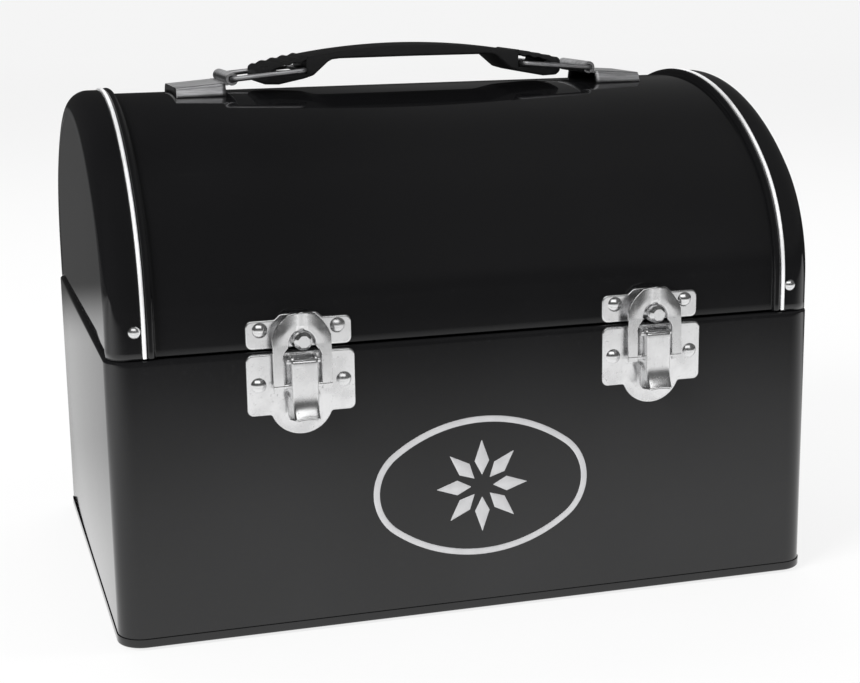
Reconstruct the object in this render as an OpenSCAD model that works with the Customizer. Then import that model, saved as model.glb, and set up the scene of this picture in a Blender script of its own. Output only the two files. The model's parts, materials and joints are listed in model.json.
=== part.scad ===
// Dome-top metal lunch box with two draw latches and a moulded carrying handle.
//
// Frame: millimetres, +X along the width, +Y towards the hinge, +Z up. The origin is on the
// underside of the bottom pan, at the centre of its outline. Everything is drawn closed, at rest.
//
// "Outward" on a latch is the distance in front of the body's front face, towards -Y.

/* [Body] */
// Width of the body, end to end
body_w = 254; // [200:1:320]
// Depth of the body, front to back
body_d = 178; // [146:1:220]
// Height of the body, floor to rim
body_h = 98.5; // [78:0.5:150]
// Radius of the body's upright corners
corner_r = 9; // [6:0.5:14]
// Thickness of the steel sheet
sheet_t = 0.6; // [0.45:0.05:0.8]
// Radius of the rolled rim round the mouth
rim_r = 1.2; // [1:0.1:1.6]
// Height of the folded seam round the bottom
seam_h = 3.2; // [2.4:0.1:5]

/* [Lid] */
// Height of the dome's crest above the body's rim
lid_h = 79.5; // [62:0.5:96]
// Height of the upright part of the lid's front and back
lid_side_h = 11.2; // [10.5:0.1:16]
// Turn of each shoulder arc before the flatter crown begins, in degrees
shoulder_turn = 46; // [40:1:52]
// How far the dome sheet stands in from the body's front and back
lid_inset = 1.8; // [1.6:0.1:2.4]
// How far the end caps stand in from the body's ends
cap_inset = 0.8; // [0.4:0.1:1.4]
// Radius of the rounded edge of an end cap
cap_edge_r = 7.5; // [6:0.5:8]
// How far an end cap's flange stands proud of the dome sheet
cap_rise = 1.5; // [1.3:0.1:1.7]
// Distance from an end cap's face to the trim wire
cap_flange_w = 12; // [11:0.5:16]
// Height of the pressed bead beside the trim wire
bead_h = 2.2; // [1.8:0.1:2.6]
// Width of the pressed bead
bead_w = 2.7; // [2.4:0.1:3.4]
// Radius of the trim wire
trim_r = 0.7; // [0.5:0.05:0.8]
// Gap between the lid's lower edge and the body's rim
lid_gap = 0.3; // [0.3:0.05:0.8]

/* [Latches] */
// Distance between the centres of the two latches
latch_spacing = 126; // [110:1:140]
// Thickness of the latch plates
plate_t = 0.8; // [0.6:0.05:1]
// Width of the catch plate on the lid
catch_w = 36; // [33:0.5:40]
// Height of the catch plate at its sides
catch_h = 10; // [9.5:0.1:10.4]
// Distance between the catch plate's rivets
catch_rivets = 26.4; // [25:0.1:29]
// Width of the latch base on the body
base_w = 37; // [35.5:0.5:42]
// Height of the latch base at its sides
base_h = 21; // [19:0.5:24]
// Radius of the round lobe below the latch base
lobe_r = 11; // [9:0.5:13]
// Distance between the latch base's rivets
base_rivets = 29; // [28:0.1:31.5]
// Radius of a latch rivet's head
rivet_head_r = 2.65; // [2.2:0.05:2.9]
// Length of the catch stud
stud_l = 8; // [6.5:0.1:9]
// Radius of the catch stud at its foot
stud_foot_r = 3.3; // [3:0.1:3.6]
// Radius of the catch stud at its end
stud_end_r = 2.5; // [2:0.1:2.8]
// Width of the lever's face
lever_w = 11; // [10.4:0.1:11.4]
// Length of the lever below its pivot
lever_l = 21; // [18:0.5:23]
// Radius of the outward flare at the lever's tail
flare_r = 9; // [8:0.5:14]
// Radius of the latch pins
pin_r = 1; // [0.8:0.05:1.1]
// Distance from the lever's pivot down to the loop's pivot
throw_l = 8.5; // [8:0.1:9]
// Width over the loop's two legs
loop_w = 20; // [19.5:0.1:22]
// Width of one leg of the loop
leg_w = 3.6; // [3.2:0.1:3.7]
// Thickness of the loop
loop_t = 1.2; // [1:0.05:1.4]
// Radius of the loop's round window
window_r = 4.65; // [4.5:0.05:4.9]

/* [Handle] */
// Distance between the two bracket knuckles
handle_span = 138; // [126:1:150]
// Height of the knuckles' centres above the crest
knuckle_rise = 4.9; // [4.4:0.1:6]
// Outer radius of a knuckle
knuckle_r = 2.3; // [2:0.05:2.4]
// Width of a bracket at its top
bracket_w = 28; // [27:0.5:32]
// Length of a bracket from knuckle to tip
bracket_l = 20.5; // [17:0.5:22]
// Radius of the link wire
wire_r = 1; // [0.8:0.05:1.1]
// Length of a link between its two crossbars
link_l = 26.9; // [25:0.1:29]
// Height of the inner crossbar above the knuckle at rest
link_rise = 2.3; // [2:0.1:3]
// Distance that the grip lifts
handle_lift = 15.5; // [12:0.5:16]
// Width of the grip
grip_w = 25; // [22:0.5:25.5]
// Height of the grip's top above the crest, at its middle
grip_rise = 15.3; // [15:0.1:17]
// Radius of the grip's crowned top, seen from the front
grip_crown_r = 250; // [230:5:300]
// Thickness of the grip at its middle
grip_t = 4.2; // [3.5:0.1:5]

/* [Hinge] */
// Distance from each upright corner to the end of the hinge
hinge_margin = 18; // [8:1:30]
// Outer radius of the hinge knuckles
hinge_r = 1.8; // [1.6:0.05:2]
// Radius of the hinge pin
hinge_pin_r = 0.9; // [0.8:0.05:1]
// Height of a hinge leaf
leaf_h = 13; // [12:0.5:14]

/* [Badge] */
// Half width of the oval badge
badge_a = 39; // [34:0.5:40]
// Half height of the oval badge
badge_b = 25; // [20:0.5:26]
// Height of the badge's centre above the floor
badge_z = 45; // [38:0.5:50]

/* [Hidden] */
$fn = 96;

// Clearances
fit_gap = 0.05;        // between a shank or pin and the fixed sheet round it
turn_gap = 0.06;       // between a pin and the piece that turns on it
run_gap = 0.3;         // between pieces that move past each other

// Body
front_y = -body_d / 2;
rim_sink = 0.6;        // how far the wall's sheet reaches into the rolled rim
lap_w = 10;            // overlap of the wall's two ends at the back
seam_proud = 0.9;      // how far the bottom seam stands out from the wall

// Lid: a three-centred arch. Two shoulder arcs carry on from the upright sides, and a crown
// arc joins them. Both meet where the shoulder has turned by shoulder_turn.
arch_a = body_d / 2 - lid_inset;
lid_z0 = body_h + lid_gap;
side_z = lid_z0 + lid_side_h;
crest_z = body_h + lid_h;
arch_rise = crest_z - side_z;
arch_m = (1 - sin(shoulder_turn)) / cos(shoulder_turn);
shoulder_r = round(100 * (arch_rise - arch_a * arch_m) / (1 - arch_m)) / 100;
shoulder_c = arch_a - shoulder_r;
crown_r = shoulder_r + shoulder_c / cos(shoulder_turn);
crown_z = crest_z - crown_r;
hair = 0.02;                               // extra thickness of the crown, which closes over the shoulders
hair_turn = 0.3;                           // how far it does so, in degrees
crown_from = shoulder_turn - hair_turn;
$fat = 0;                                  // extra thickness of the section being swept
cap_x = body_w / 2 - cap_inset;
trim_x = cap_x - cap_flange_w;
bead_x = trim_x - trim_r - fit_gap - bead_w / 2;
flange_x = trim_x + trim_r + fit_gap;
hem_h = 4.4;                               // height of the hem folded up inside the lid's lower edge
lap_gap = 0.1;                             // between the dome sheet and the cap's flange over it
lap_out = cap_rise - sheet_t - lap_gap;    // outside of the sheet that the cap's flange laps
face_step = 0.08;                          // how far the end face is pressed in from the rounded edge
lap_end_x = cap_x - cap_edge_r - 0.1;
cap_rivet_x = lap_end_x - 1.4;
cap_rivet_z = lid_z0 + 9.2;
cap_rivet_r = 2;
shank_r = 1.1;

// Latches
latch_x = latch_spacing / 2;
latch_corner_r = 2.2;
catch_y = front_y + lid_inset;             // face of the dome sheet behind the catch plate
catch_z0 = lid_z0 + 0.1;
catch_rivet_z = catch_z0 + 6.6;
base_top_z = body_h - 1.1;
base_rivet_z = base_top_z - 10.1;
lobe_z = base_top_z - base_h + 4.2;
lever_u = 4.2;                             // outward distance of the lever's pivot
lever_z = body_h - 3;
loop_u = 3.2;                              // outward distance of the loop's pivot: over centre
loop_z = lever_z - throw_l;
eye_r = 1.6;
lever_t = 0.8;
lever_face_u = 7.4;
lever_head = 1.2;                          // height of the lever above its pivot
lever_back_u = 1.7;
ear_t = 0.8;
ear_r = 2.3;
ear_x = lever_w / 2 - lever_t - run_gap - ear_t;
stud_z = catch_z0 + stud_foot_r + 0.1;
stud_foot_u = -lid_inset + plate_t;
stud_shank_r = 1.5;
stud_at_loop_r = stud_foot_r + (stud_end_r - stud_foot_r) * (loop_u - loop_t / 2 - stud_foot_u) / stud_l;
window_z = stud_z - window_r + stud_at_loop_r + run_gap;
loop_top_z = window_z + window_r + 6.4;
notch_top_z = lever_z - 11;

// Handle
knuckle_x = handle_span / 2;
knuckle_z = crest_z + knuckle_rise;
knuckle_bore_r = wire_r + 0.2;
link_y = bracket_w / 2 + run_gap + wire_r;
bend_r = 1.2;
link_tilt = asin(link_rise / link_l);
link_tilt_up = asin((link_rise + handle_lift) / link_l);
bar_x_rest = knuckle_x - link_l * cos(link_tilt);
bar_x_up = knuckle_x - link_l * cos(link_tilt_up);
bar_z = knuckle_z + link_rise;
slot_slack = 0.8;                          // room above the crossbar for its arc during the lift
grip_top_z = crest_z + grip_rise;
grip_end_gap = 7.4;                        // bare wire between a knuckle and the grip
grip_end_x = knuckle_x - knuckle_r - grip_end_gap;
grip_belly_z = crest_z + 2.2;
grip_corner_r = 5;
grip_ribs = 5;
rib_r = 0.9;
rib_pitch = 4.1;
bracket_t = 1;
bracket_tip_x = knuckle_x + bracket_l;
bracket_tip_rise = 0.8;
bracket_in_rise = 3.7;
bracket_top_z = crest_z + bracket_in_rise;
bracket_flare = 1.6;                       // how much wider a bracket's foot is on each side

// Hinge
hinge_len = body_w - 2 * (corner_r + hinge_margin);
hinge_knuckles = 9;
hinge_y = body_d / 2 + hinge_r + 0.4;
hinge_z = body_h + 0.2;
leaf_t = 0.8;
hinge_rivet_x = hinge_len / 2 - 10;
hinge_body_rivet_z = hinge_z - leaf_h / 2 - 3.4;
hinge_lid_rivet_z = hinge_z + leaf_h / 2 + 1.2;

// Badge: a four-centred oval with a raised ring and a plain rosette
badge_t = 0.35;
badge_ring = 2.2;
badge_end_r = 18;

// ---- shared shapes ----

// Outline of the body's plan, moved out by grow (or in, when negative)
module body_outline(grow = 0) {
    r = corner_r + grow;
    square([body_w - 2 * corner_r, body_d + 2 * grow], center = true);
    square([body_w + 2 * grow, body_d - 2 * corner_r], center = true);
    for (sx = [-1, 1], sy = [-1, 1])
        translate([sx * (body_w / 2 - corner_r), sy * (body_d / 2 - corner_r)]) circle(r);
}

// Closed tube of a round section, laid round the body's plan, inset from its outline
module around_body(inset, r, z) {
    rc = corner_r - inset;
    for (s = [-1, 1]) {
        translate([0, s * (body_d / 2 - inset), z]) rotate([0, 90, 0])
            cylinder(r = r, h = body_w - 2 * corner_r, center = true);
        translate([s * (body_w / 2 - inset), 0, z]) rotate([90, 0, 0])
            cylinder(r = r, h = body_d - 2 * corner_r, center = true);
    }
    for (i = [0:3])
        translate([(i == 0 || i == 3 ? 1 : -1) * (body_w / 2 - corner_r),
                   (i < 2 ? 1 : -1) * (body_d / 2 - corner_r), z])
            rotate([0, 0, 90 * i]) rotate_extrude(angle = 90) translate([rc, 0]) circle(r);
}

// Revolves its child, drawn as (along X, outward), by a turn about an X axis at (y, z)
module arch_arc(r, y, z, from, turn) {
    translate([0, y, z]) rotate([90, 0, 90]) rotate([0, 0, from])
        rotate_extrude(angle = turn) translate([r, 0]) mirror([1, -1]) children();
}

// Sweeps its child, drawn as (along X, outward), over the whole arch from foot to foot.
// The child reads $fat, so that the crown's ends enclose the shoulders' at any size of the arch.
module over_arch(foot_z = lid_z0) {
    for (s = [0, 1]) mirror([0, s, 0]) {
        translate([0, arch_a, foot_z]) linear_extrude(side_z - foot_z) children();
        arch_arc(shoulder_r, shoulder_c, side_z, 0, shoulder_turn) children();
    }
    let ($fat = hair)
        arch_arc(crown_r, 0, crown_z, crown_from, 180 - 2 * crown_from) children();
}

// Half-plane wedge above the crown's centre, as wide as the crown arc
module crown_wedge(reach) {
    polygon([[0, crown_z], reach * [cos(shoulder_turn), sin(shoulder_turn)] + [0, crown_z],
             [0, crown_z + reach], reach * [-cos(shoulder_turn), sin(shoulder_turn)] + [0, crown_z]]);
}

// Solid arch, moved out by grow, between two places along X
module arch_block(grow, x0, x1) {
    half = arch_a + grow;
    translate([x0, 0, 0]) rotate([90, 0, 90]) linear_extrude(x1 - x0) {
        translate([-half, lid_z0]) square([2 * half, side_z - lid_z0]);
        intersection() {
            union() {
                for (s = [-1, 1]) translate([s * shoulder_c, side_z]) circle(shoulder_r + grow);
                intersection() {
                    translate([0, crown_z]) circle(crown_r + grow + hair);
                    crown_wedge(3 * crown_r);
                }
            }
            translate([-half, side_z]) square([2 * half, arch_rise + grow + 1]);
        }
    }
}

// Domed rivet: the head stands above z = 0, the shank runs down through grip to a flat tail
module rivet(head_r, grip, shank = shank_r) {
    head_h = head_r * 0.5;
    ball_r = (head_r * head_r + head_h * head_h) / (2 * head_h);
    rotate_extrude() intersection() {
        translate([0, head_h - ball_r]) circle(ball_r);
        square([head_r, head_h]);
    }
    translate([0, 0, -grip - 0.1]) cylinder(r = shank, h = grip + 0.1);
    translate([0, 0, -grip - 0.8]) cylinder(r = shank * 1.7, h = 0.8);
}

// Clearance hole through a sheet for a rivet's or a stud's shank
module rivet_hole(shank = shank_r) {
    cylinder(r = shank + fit_gap, h = 4);
}

// Places its children on the front face, at x and z, with local +Z pointing outward
module on_front(x, y, z) {
    translate([x, y, z]) rotate([90, 0, 0]) children();
}

// The same on the back face
module on_back(x, y, z) {
    translate([x, y, z]) rotate([-90, 0, 0]) children();
}

// Plate outline with rounded corners, its lower left corner at the given place
module soft_rect(x, z, w, h, r) {
    translate([x + r, z]) square([w - 2 * r, h]);
    translate([x, z + r]) square([w, h - 2 * r]);
    for (cx = [x + r, x + w - r], cz = [z + r, z + h - r]) translate([cx, cz]) circle(r);
}

// ---- body ----

module body_wall() {
    color([0.06, 0.06, 0.07]) difference() {
        union() {
            difference() {
                translate([0, 0, sheet_t])
                    linear_extrude(body_h - 2 * rim_r + rim_sink - sheet_t) body_outline();
                translate([0, 0, -1]) linear_extrude(body_h + 2) body_outline(-sheet_t);
            }
            around_body(rim_r, rim_r, body_h - rim_r);
            translate([-lap_w / 2, body_d / 2 - 2 * sheet_t, seam_h + 1])
                cube([lap_w, sheet_t * 1.5, body_h - 2 * rim_r - seam_h - 1.5]);
        }
        for (s = [-1, 1], r = [-1, 1])
            on_front(s * latch_x + r * base_rivets / 2, front_y + 2, base_rivet_z) rivet_hole();
        hinge_rivet_places(body_d / 2 - 2, hinge_body_rivet_z) rivet_hole();
    }
}

module bottom_pan() {
    color([0.06, 0.06, 0.07]) {
        linear_extrude(sheet_t) body_outline(seam_proud);
        difference() {
            linear_extrude(seam_h) body_outline(seam_proud);
            translate([0, 0, -1]) linear_extrude(seam_h + 2) body_outline();
        }
        difference() {
            linear_extrude(seam_h) body_outline(-sheet_t);
            translate([0, 0, -1]) linear_extrude(seam_h + 2) body_outline(-2 * sheet_t);
        }
    }
}

module oval(a, b, end_r) {
    // the flat sides' radius follows from the tangent condition with the end arcs
    e = a - end_r;
    side_r = (e * e + b * b - end_r * end_r) / (2 * (b - end_r));
    cut_x = e * side_r / (side_r - end_r);
    for (s = [-1, 1]) translate([s * e, 0]) circle(end_r);
    intersection() {
        translate([0, side_r - b]) circle(side_r);
        translate([0, b - side_r]) circle(side_r);
        square([2 * cut_x, 4 * b], center = true);
    }
}

module badge_plate() {
    color([0.75, 0.75, 0.77]) on_front(0, front_y, badge_z) {
        linear_extrude(badge_t) oval(badge_a, badge_b, badge_end_r);
        linear_extrude(badge_t * 2) difference() {
            oval(badge_a, badge_b, badge_end_r);
            oval(badge_a - badge_ring, badge_b - badge_ring, badge_end_r - badge_ring);
        }
        linear_extrude(badge_t * 2) for (i = [0:7]) rotate([0, 0, 45 * i])
            polygon([[4, 0], [9, -2.6], [16.5, 0], [9, 2.6]]);
    }
}

// ---- latches ----

// Outline of the latch base: a plate with a round lobe below it
module base_outline() {
    soft_rect(-base_w / 2, base_top_z - base_h, base_w, base_h, latch_corner_r);
    translate([0, lobe_z]) circle(lobe_r);
}

module latch_base(side) {
    color([0.8, 0.8, 0.82]) translate([side * latch_x, 0, 0]) {
        difference() {
            translate([0, front_y, 0]) rotate([90, 0, 0]) linear_extrude(plate_t) base_outline();
            for (r = [-1, 1])
                on_front(r * base_rivets / 2, front_y + 2, base_rivet_z) rivet_hole();
        }
        for (s = [0, 1]) mirror([s, 0, 0]) difference() {
            union() {
                translate([ear_x, front_y - lever_u, lever_z]) rotate([0, 90, 0])
                    cylinder(r = ear_r, h = ear_t);
                translate([ear_x, front_y - lever_u, lever_z - ear_r])
                    cube([ear_t, lever_u - plate_t / 2, ear_r + 0.8]);
            }
            translate([ear_x - 1, front_y - lever_u, lever_z]) rotate([0, 90, 0])
                cylinder(r = pin_r + fit_gap, h = ear_t + 2);
        }
    }
}

module lever_pin(side) {
    color([0.7, 0.7, 0.72]) translate([side * latch_x, front_y - lever_u, lever_z]) rotate([0, 90, 0])
        cylinder(r = pin_r, h = lever_w + 0.5, center = true);
}

module loop_pin(side) {
    color([0.7, 0.7, 0.72]) translate([side * latch_x, front_y - loop_u, loop_z]) rotate([0, 90, 0])
        cylinder(r = pin_r, h = loop_w - 0.2, center = true);
}

module latch_base_rivets() {
    color([0.85, 0.85, 0.87]) for (s = [-1, 1], r = [-1, 1])
        on_front(s * latch_x + r * base_rivets / 2, front_y - plate_t, base_rivet_z)
            rivet(rivet_head_r, plate_t + sheet_t);
}

// Side view of the lever, drawn as (outward, z): its sheet alone, down to the flared tail
module lever_face() {
    flare_z = lever_z - lever_l + flare_r * 0.72;
    translate([lever_face_u - lever_t, flare_z]) square([lever_t, lever_z + lever_head - flare_z]);
    intersection() {
        translate([lever_face_u + flare_r, flare_z]) difference() {
            circle(flare_r + lever_t);
            circle(flare_r);
        }
        translate([lever_face_u - lever_t - 1, lever_z - lever_l])
            square([flare_r, flare_r * 0.72 + 0.01]);
    }
}

// Side wall of the lever: deep round the two pins, shallow below them
module lever_cheek() {
    difference() {
        polygon([
            [lever_back_u, lever_z - 1.4], [lever_u - 1.6, lever_z + lever_head],
            [lever_face_u - 0.3, lever_z + lever_head], [lever_face_u - 0.3, lever_z - lever_l + 3.5],
            [lever_face_u - 1.6, lever_z - lever_l + 2.2], [lever_u - 1.4, lever_z - lever_l + 2.2],
            [lever_u - 1, notch_top_z - 2.4], [lever_u + 0.4, notch_top_z - 1.2],
            [lever_u + 0.4, notch_top_z], [lever_back_u, notch_top_z + 0.6]
        ]);
        translate([lever_u, lever_z]) circle(pin_r + turn_gap);
        translate([loop_u, loop_z]) circle(pin_r + fit_gap);
    }
}

module lever(side) {
    // turns a (outward, z) outline into a slab across the lever
    module slab(x0, w)
        translate([x0, front_y, 0]) rotate([90, 0, -90]) mirror([0, 0, 1]) linear_extrude(w) children();
    color([0.78, 0.78, 0.8]) translate([side * latch_x, 0, 0]) difference() {
        union() {
            slab(-lever_w / 2, lever_w) lever_face();
            slab(-lever_w / 2, lever_t) lever_cheek();
            slab(lever_w / 2 - lever_t, lever_t) lever_cheek();
        }
        // hollow end of the tail
        on_front(0, front_y, lever_z - lever_l - 10.6) cylinder(r = 12, h = 20);
    }
}

// The loop's outline: faceted arch, round window, two legs
module loop_outline() {
    half = loop_w / 2;
    difference() {
        polygon([
            [-half, loop_z], [-half, window_z + 3.2], [-half + 2.6, window_z + 7.4], [-3.2, loop_top_z],
            [3.2, loop_top_z], [half - 2.6, window_z + 7.4], [half, window_z + 3.2], [half, loop_z]
        ]);
        translate([0, window_z]) circle(window_r);
        translate([-window_r, loop_z]) square([2 * window_r, window_z - loop_z]);
        translate([-half + leg_w, loop_z - 1]) square([loop_w - 2 * leg_w, lever_z + 3.4 - loop_z + 1]);
    }
}

module latch_loop(side) {
    color([0.82, 0.82, 0.84]) translate([side * latch_x, front_y - loop_u, 0]) difference() {
        union() {
            translate([0, loop_t / 2, 0]) rotate([90, 0, 0]) linear_extrude(loop_t) loop_outline();
            for (s = [0, 1]) mirror([s, 0, 0])
                translate([loop_w / 2 - leg_w, 0, loop_z]) rotate([0, 90, 0])
                    cylinder(r = eye_r, h = leg_w);
        }
        translate([0, 0, loop_z]) rotate([0, 90, 0])
            cylinder(r = pin_r + turn_gap, h = loop_w + 2, center = true);
    }
}

// ---- lid ----

// Section of the dome sheet, drawn as (along X, outward): sheet, pressed bead and raised lap
module dome_section() {
    bead_z = bead_h - bead_w / 2;
    outer_r = bead_w / 2 + $fat;
    inner_r = bead_w / 2 - sheet_t - $fat;
    sheet_x = bead_x - bead_w / 2 + sheet_t / 2;
    lap_x = bead_x + bead_w / 2 - sheet_t / 2;
    translate([-sheet_x, -sheet_t - $fat]) square([2 * sheet_x, sheet_t + 2 * $fat]);
    for (s = [0, 1]) mirror([s, 0]) {
        difference() {
            union() {
                translate([bead_x, bead_z]) circle(outer_r);
                translate([bead_x - outer_r, -sheet_t - $fat])
                    square([2 * outer_r, bead_z + sheet_t + $fat]);
            }
            translate([bead_x, bead_z]) circle(inner_r);
            translate([bead_x - inner_r, -sheet_t - 1]) square([2 * inner_r, bead_z + sheet_t + 1]);
        }
        translate([lap_x, lap_out - sheet_t - $fat]) square([lap_end_x - lap_x + $fat, sheet_t + 2 * $fat]);
    }
}

module lid_dome() {
    color([0.05, 0.05, 0.06]) difference() {
        union() {
            over_arch() dome_section();
            // folded hem inside the lower edges
            for (s = [0, 1]) mirror([0, s, 0])
                translate([-bead_x + bead_w, arch_a - 2 * sheet_t, lid_z0])
                    cube([2 * (bead_x - bead_w), sheet_t * 1.5, hem_h]);
        }
        for (s = [-1, 1], r = [-1, 1])
            on_front(s * latch_x + r * catch_rivets / 2, catch_y + 2, catch_rivet_z) rivet_hole();
        for (s = [-1, 1]) on_front(s * latch_x, catch_y + 2, stud_z) rivet_hole(stud_shank_r);
        cap_rivet_places(3) cylinder(r = shank_r + fit_gap, h = 6);
        hinge_rivet_places(arch_a - 2, hinge_lid_rivet_z) rivet_hole();
    }
}

// Section of an end cap's flange and rounded edge, drawn as (along X, outward)
module cap_section() {
    edge_x = cap_x - cap_edge_r;
    edge_out = cap_rise - cap_edge_r;
    translate([flange_x - $fat, cap_rise - sheet_t - $fat])
        square([edge_x - flange_x + $fat, sheet_t + 2 * $fat]);
    intersection() {
        translate([edge_x, edge_out]) difference() {
            circle(cap_edge_r + $fat);
            circle(cap_edge_r - sheet_t - $fat);
        }
        translate([edge_x, edge_out]) square(cap_edge_r + 1);
    }
}

module end_cap(side) {
    color([0.07, 0.07, 0.08]) mirror([side < 0 ? 1 : 0, 0, 0]) difference() {
        union() {
            over_arch() cap_section();
            // the end face, pressed in a little from the rounded edge
            arch_block(cap_rise - cap_edge_r + 0.3, cap_x - sheet_t + face_step, cap_x - face_step);
        }
        cap_rivet_places(3) cylinder(r = shank_r + fit_gap, h = 6);
    }
}

module trim_wire(side) {
    color([0.92, 0.92, 0.93]) over_arch(lid_z0 + 0.4)
        translate([side * trim_x, lap_out + trim_r + lap_gap]) rotate(45) circle(trim_r + $fat);
}

// Places of the rivets through the end caps' flanges, in front and at the back
module cap_rivet_places(depth) {
    for (s = [-1, 1], f = [0, 1]) mirror([0, f, 0])
        on_front(s * cap_rivet_x, -arch_a - cap_rise + depth, cap_rivet_z) children();
}

module end_cap_rivets() {
    color([0.85, 0.85, 0.87]) cap_rivet_places(0) rivet(cap_rivet_r, 2 * sheet_t + lap_gap);
}

module catch_plate(side) {
    color([0.72, 0.72, 0.74]) translate([side * latch_x, 0, 0]) difference() {
        translate([0, catch_y, 0]) rotate([90, 0, 0]) linear_extrude(plate_t) {
            soft_rect(-catch_w / 2, catch_z0, catch_w, catch_h, latch_corner_r);
            intersection() {
                translate([0, stud_z]) circle(loop_w / 2);
                translate([-loop_w, catch_z0 + catch_h / 2])
                    square([2 * loop_w, lid_side_h + 0.6 - catch_h / 2]);
            }
        }
        for (r = [-1, 1])
            on_front(r * catch_rivets / 2, catch_y + 2, catch_rivet_z) rivet_hole();
        on_front(0, catch_y + 2, stud_z) rivet_hole(stud_shank_r);
    }
}

module catch_stud(side) {
    shoulder = 0.9;
    through = plate_t + 2 * sheet_t;
    color([0.82, 0.82, 0.84]) on_front(side * latch_x, catch_y - plate_t, stud_z) {
        rotate_extrude() polygon([
            [0, 0], [stud_foot_r, 0], [stud_end_r + shoulder * 0.35, stud_l - shoulder],
            [stud_end_r, stud_l - shoulder * 0.3], [stud_end_r - 0.4, stud_l], [0, stud_l]
        ]);
        translate([0, 0, -through]) cylinder(r = stud_shank_r, h = through + 0.1);
        translate([0, 0, -through - 0.9]) cylinder(r = 2.6, h = 0.9);
    }
}

module catch_rivets() {
    color([0.85, 0.85, 0.87]) for (s = [-1, 1], r = [-1, 1])
        on_front(s * latch_x + r * catch_rivets / 2, catch_y - plate_t, catch_rivet_z)
            rivet(rivet_head_r, plate_t + sheet_t);
}

// ---- hinge ----

module hinge_rivet_places(y, z) {
    for (i = [-3:2:3]) on_back(i * hinge_rivet_x / 3, y, z) children();
}

// Knuckles first, first + 2 and so on, each joined to its leaf by a web drawn as (y, z)
module hinge_knuckles(first) {
    pitch = hinge_len / hinge_knuckles;
    for (i = [first:2:hinge_knuckles - 1])
        translate([-hinge_len / 2 + i * pitch + run_gap / 2, 0, 0]) difference() {
            union() {
                translate([0, hinge_y, hinge_z]) rotate([0, 90, 0])
                    cylinder(r = hinge_r, h = pitch - run_gap);
                rotate([90, 0, 90]) linear_extrude(pitch - run_gap) children();
            }
            translate([-1, hinge_y, hinge_z]) rotate([0, 90, 0])
                cylinder(r = hinge_pin_r + turn_gap, h = pitch + 2);
        }
}

module hinge_body_leaf() {
    color([0.62, 0.62, 0.64]) {
        difference() {
            translate([-hinge_len / 2, body_d / 2, hinge_z - leaf_h - 1.5])
                cube([hinge_len, leaf_t, leaf_h - 0.8]);
            hinge_rivet_places(body_d / 2 - 1, hinge_body_rivet_z) rivet_hole();
        }
        hinge_knuckles(0) polygon([
            [body_d / 2 + 0.1, hinge_z - 4], [body_d / 2 + leaf_t, hinge_z - 4],
            [hinge_y + hinge_r * 0.7, hinge_z - hinge_r * 0.7], [hinge_y, hinge_z],
            [body_d / 2 + 0.6, hinge_z - 1.4], [body_d / 2 + 0.1, hinge_z - 2.2]
        ]);
    }
}

module hinge_lid_leaf() {
    color([0.62, 0.62, 0.64]) {
        difference() {
            translate([-hinge_len / 2, arch_a, lid_z0 + 0.3]) cube([hinge_len, leaf_t, leaf_h - 1.8]);
            hinge_rivet_places(arch_a - 1, hinge_lid_rivet_z) rivet_hole();
        }
        hinge_knuckles(1) polygon([
            [arch_a + 0.1, lid_z0 + 0.3], [hinge_y, lid_z0 + 0.2],
            [hinge_y + hinge_r * 0.5, hinge_z + hinge_r * 0.86],
            [hinge_y - hinge_r * 0.4, hinge_z + hinge_r * 0.92],
            [arch_a + leaf_t, hinge_z + 2.6], [arch_a + 0.1, hinge_z + 2.6]
        ]);
    }
}

module hinge_pin() {
    color([0.7, 0.7, 0.72]) translate([0, hinge_y, hinge_z]) rotate([0, 90, 0])
        cylinder(r = hinge_pin_r, h = hinge_len + 1.6, center = true);
}

module hinge_body_rivets() {
    color([0.8, 0.8, 0.82])
        hinge_rivet_places(body_d / 2 + leaf_t, hinge_body_rivet_z) rivet(2, leaf_t + sheet_t);
}

module hinge_lid_rivets() {
    color([0.8, 0.8, 0.82])
        hinge_rivet_places(arch_a + leaf_t, hinge_lid_rivet_z) rivet(2, leaf_t + sheet_t);
}

// ---- handle ----

// The ramp of a bracket: side profile across the handle, sides leaning in towards the top
module ramp(inset) {
    in_z = crest_z + bracket_in_rise - inset;
    tip_z = crest_z + bracket_tip_rise - inset;
    low_z = crest_z - 6;
    intersection() {
        rotate([90, 0, 0]) linear_extrude(2 * bracket_w, center = true) polygon([
            [knuckle_x + knuckle_r + 0.2 - inset * 3, low_z],
            [knuckle_x + knuckle_r + 0.2 - inset * 3, in_z],
            [bracket_tip_x - inset, tip_z], [bracket_tip_x - inset + 0.4, low_z]
        ]);
        rotate([90, 0, 90]) linear_extrude(bracket_tip_x + 5) polygon([
            [-bracket_w / 2 - bracket_flare + inset, low_z + 4.4], [-bracket_w / 2 + inset, in_z],
            [bracket_w / 2 - inset, in_z], [bracket_w / 2 + bracket_flare - inset, low_z + 4.4]
        ]);
    }
}

module bracket(side) {
    color([0.6, 0.6, 0.62]) mirror([side < 0 ? 1 : 0, 0, 0]) {
        difference() {
            ramp(0);
            ramp(bracket_t);
            translate([0, 0, crown_z]) rotate([0, 90, 0]) 
                cylinder(r = crown_r + lap_gap, h = bracket_tip_x + 10, $fn = 360);
        }
        difference() {
            union() {
                translate([knuckle_x, 0, knuckle_z]) rotate([90, 0, 0])
                    cylinder(r = knuckle_r, h = bracket_w, center = true);
                // tongue that the top plate rolls up into
                translate([knuckle_x + knuckle_r * 0.6, -bracket_w / 2, bracket_top_z - bracket_t])
                    cube([knuckle_r, bracket_w, bracket_t]);
            }
            translate([knuckle_x, 0, knuckle_z]) rotate([90, 0, 0])
                cylinder(r = knuckle_bore_r, h = bracket_w + 2, center = true);
        }
    }
}

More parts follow.
